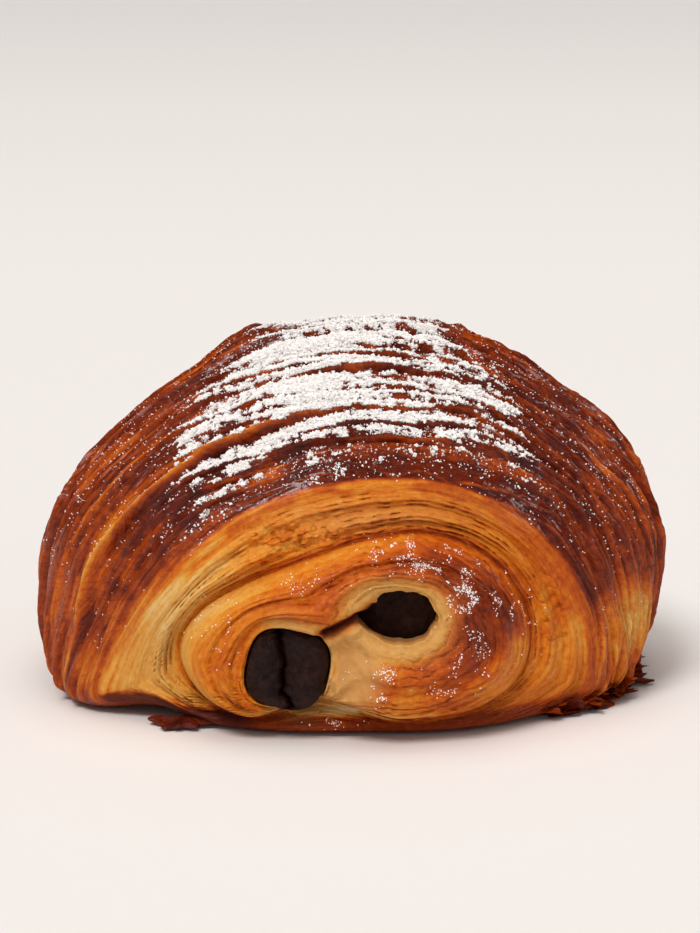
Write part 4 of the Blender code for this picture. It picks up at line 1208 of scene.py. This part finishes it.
def tornScale(index, at, turn, tilt, size, material):
    spokes, rows = scaleMesh["spokes"], scaleMesh["rows"]
    angle = circle(spokes)
    ragged = 1.0 + 0.16 * np.sin(angle * 3.0 + index) + 0.12 * np.sin(angle * 5.0 + 2.0 * index)
    for finer, share, seed in ((1.0, 0.14, 53), (2.3, 0.10, 54)):
        turns = 5.0 * finer
        ragged += share * lumpsAt(np.cos(angle) * turns, np.sin(angle) * turns, 3.0 * index * finer, seed)
    length, width, thickness = size
    level = np.cos(np.linspace(0.0, math.pi, rows))[:, None]
    share = np.sin(np.linspace(0.02, math.pi - 0.02, rows))[:, None] ** 0.5
    side, rise = length / 2.0 * ragged * np.cos(angle) * share, width / 2.0 * ragged * np.sin(angle) * share
    height = thickness / 2.0 * level * (1.0 - 0.4 * share**6) + side * math.sin(math.radians(tilt))
    height += scaleMesh["curl"] * rise**2 / width + scaleMesh["wave"] * np.sin(side / length * 9.0 + index)
    height += scaleMesh["fine"] * lumpsAt(side / 0.0022, rise / 0.0006, index, 51)
    height += scaleMesh["coarse"] * lumpsAt(side / 0.0026, rise / 0.0016, index, 55)
    grid = np.stack([*turned(side, rise, turn), height], axis=-1) + np.array(at)
    grid[..., 2] = np.maximum(grid[..., 2], 0.0)
    points = np.concatenate([grid.reshape(-1, 3), [grid[0].mean(axis=0), grid[-1].mean(axis=0)]])
    patchy = (0.86 if index == 0 else 0.74) + 0.10 * lumps(points / 0.003, 52)
    fields = {"bake": patchy, "sugar": np.zeros(len(points)), "grainZ": np.zeros(len(points))}
    fields["gloss"] = fields["streaks"] = np.full(len(points), 0.7)
    fields["grainX"] = np.concatenate([side.ravel(), [0.0, 0.0]])
    fields["across"] = np.concatenate([rise.ravel(), [0.0, 0.0]])
    faces = [part[:, ::-1] for part in closedFaces(rows, spokes)]
    piece = makePiece(f"tornScale_{index}", points, faces, material, fields)
    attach(piece, "root")


for scaleIndex, (at, turn, tilt, size) in enumerate(scales):
    tornScale(scaleIndex, at, turn, tilt, size, dough)

# Small chips of crust that broke off along the sole: how many, and the plan points of the line they lie on.
chips = {
    "count": 110,
    "line": (
        (0.0280, -0.0315), (0.0365, -0.0255), (0.0410, -0.0185), (0.0435, -0.0110), (0.0446, -0.0030),
        (0.0446, 0.0060),
    ),
    "height": (0.0006, 0.0048),
    "length": (0.0018, 0.0042),
    "slimness": (0.35, 0.7),
    "thickness": (0.00012, 0.00028),
    "roughEdge": 0.00016,
    "lowest": 0.0001,
    "bake": (0.62, 0.90),
    "gloss": 0.6,
    "spokes": 14,
    "seed": 8,
}  # fmt: skip


def crustChips(material):
    rng = np.random.default_rng(chips["seed"])
    spokes = chips["spokes"]
    angle, path = circle(spokes), np.array(chips["line"])
    points, faces, tones = [], [], []
    for along in np.sort(rng.random(chips["count"])) * (len(path) - 1):
        step = min(int(along), len(path) - 2)
        onward = path[step + 1] - path[step]
        heading = math.degrees(math.atan2(onward[1], onward[0]) + rng.normal(0.0, 0.5))
        length = rng.uniform(*chips["length"])
        width, tilt = length * rng.uniform(*chips["slimness"]), rng.normal(0.35, 0.35)
        ragged = rng.uniform(0.55, 1.25, spokes)
        side, rise = length * ragged * np.cos(angle), width * ragged * np.sin(angle)
        x, y = turned(side, rise * math.cos(tilt), heading)
        z = rng.uniform(*chips["height"]) * rng.uniform(0.4, 1.0) - rise * math.sin(tilt)
        z = np.maximum(z + rng.normal(0.0, chips["roughEdge"], spokes), chips["lowest"])
        at = path[step] + onward * (along - step)
        rim = np.stack([at[0] + x, at[1] + y, z], axis=-1)
        middle = rim.mean(axis=0)
        thick = np.array([0.0, 0.0, rng.uniform(*chips["thickness"])])
        sides = closedFaces(1, spokes)[1:]
        faces.extend(part + len(points) * (spokes + 2) for part in sides)
        points.append(np.concatenate([rim, [middle + thick, np.maximum(middle - thick, [-1.0, -1.0, 0.0])]]))
        tones.append(np.full(spokes + 2, rng.uniform(*chips["bake"])))
    place = np.concatenate(points)
    fields = {"bake": np.concatenate(tones), "sugar": np.zeros(len(place))}
    fields["gloss"] = fields["streaks"] = np.full(len(place), chips["gloss"])
    fields["grainX"], fields["grainZ"], fields["across"] = place.T
    piece = makePiece("crustChips", place, [np.concatenate(faces)], material, fields, smooth=False)
    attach(piece, "root")


crustChips(dough)
print("scales made")

# A pale tabletop that runs out of sight, and soft light from above and in front.
studio = {
    "tabletop": "#f1ebe6",
    "farTabletopShade": "#dbd6d2",
    "grainSize": 3.0,
    "fadeDepth": 2.6,
    "halfWidth": 8.0,
    "surround": "#e9e4e0",
    "backdrop": 0.95,
    "ambient": 0.26,
    "reflected": 0.07,
    # direction that the light comes from, its strength, how wide it looks in degrees, and whether it shades the
    # surfaces and shows in their gloss
    "suns": (
        ("overheadSoftbox", (0.00, 0.05, 1.0), 1.05, 50.0, True, False),
        ("keySoftbox", (-0.35, -0.70, 1.0), 1.90, 20.0, True, False),
        ("fillSoftbox", (0.30, -1.0, 0.40), 0.45, 60.0, True, False),
        ("keyGlint", (-0.45, -0.45, 1.0), 1.80, 14.0, False, True),
        ("leftWindow", (-1.0, -0.50, 0.60), 0.80, 18.0, False, True),
        ("rightWindow", (1.0, -0.25, 0.70), 1.20, 18.0, False, True),
    ),
    "cameraHeight": 11.0,
    "cameraDistance": 0.5,
    "lookAt": (-0.0006, 0.0, 0.0336),
    "lens": 119.8,
}


def tabletopMaterial():
    # matte painted board with the faintest grain, and painted shade that makes it darker far away, where the
    # studio light falls off
    material, tree, shader, position = newMaterial("mattePaintedBoard")
    grain = noise(tree, position, (studio["grainSize"],) * 3, 3.0, 0.6)
    depth = addNode(tree, "SeparateXYZ", None, {0: position}).outputs["Y"]
    shade = calc(tree, "MULTIPLY_ADD", grain, 0.04, remap(tree, depth, 0.0, studio["fadeDepth"], smooth=True))
    colour = rampColour(tree, shade, ((0.0, studio["tabletop"]), (1.0, studio["farTabletopShade"])))
    rough = calc(tree, "MULTIPLY_ADD", grain, 0.1, 0.8)
    setInputs(tree, shader, {"Base Color": colour, "Roughness": rough})
    return material


def buildStudio():
    points = np.array([[-1, -1, 0], [1, -1, 0], [1, 1, 0], [-1, 1, 0]]) * studio["halfWidth"]
    floor = makePiece("tabletop", points, [np.array([[0, 1, 2, 3]])], tabletopMaterial(), smooth=False)
    world = bpy.data.worlds.new("paleRoom")
    bpy.context.scene.world = world
    world.use_nodes = True
    tree = world.node_tree
    ray = addNode(tree, "LightPath").outputs
    strength = remap(tree, ray["Is Glossy Ray"], 0.0, 1.0, studio["ambient"], studio["reflected"])
    strength = remap(tree, ray["Is Camera Ray"], 0.0, 1.0, strength, studio["backdrop"])
    setInputs(tree, tree.nodes["Background"], {"Color": linear(studio["surround"]), "Strength": strength})
    for name, source, power, spread, shades, inGloss in studio["suns"]:
        lamp = bpy.data.lights.new(name, "SUN")
        lamp.energy = power
        lamp.angle = math.radians(spread)
        holder = bpy.data.objects.new(name, lamp)
        away = np.array(source) / np.linalg.norm(source)
        holder.rotation_euler = (math.acos(away[2]), 0.0, math.atan2(away[0], -away[1]))
        holder.visible_diffuse = shades
        holder.visible_glossy = inGloss
        bpy.context.scene.collection.objects.link(holder)


def placeCamera():
    lens = bpy.data.cameras.new("camera")
    lens.lens = studio["lens"]
    camera = bpy.data.objects.new("camera", lens)
    dip = math.radians(studio["cameraHeight"])
    x, y, z = studio["lookAt"]
    reach = studio["cameraDistance"]
    camera.location = (x, y - reach * math.cos(dip), z + reach * math.sin(dip))
    camera.rotation_euler = (math.pi / 2.0 - dip, 0.0, 0.0)
    bpy.context.scene.collection.objects.link(camera)
    bpy.context.scene.camera = camera


buildStudio()
placeCamera()
bpy.context.scene.view_settings.view_transform = "Standard"
print("studio made")
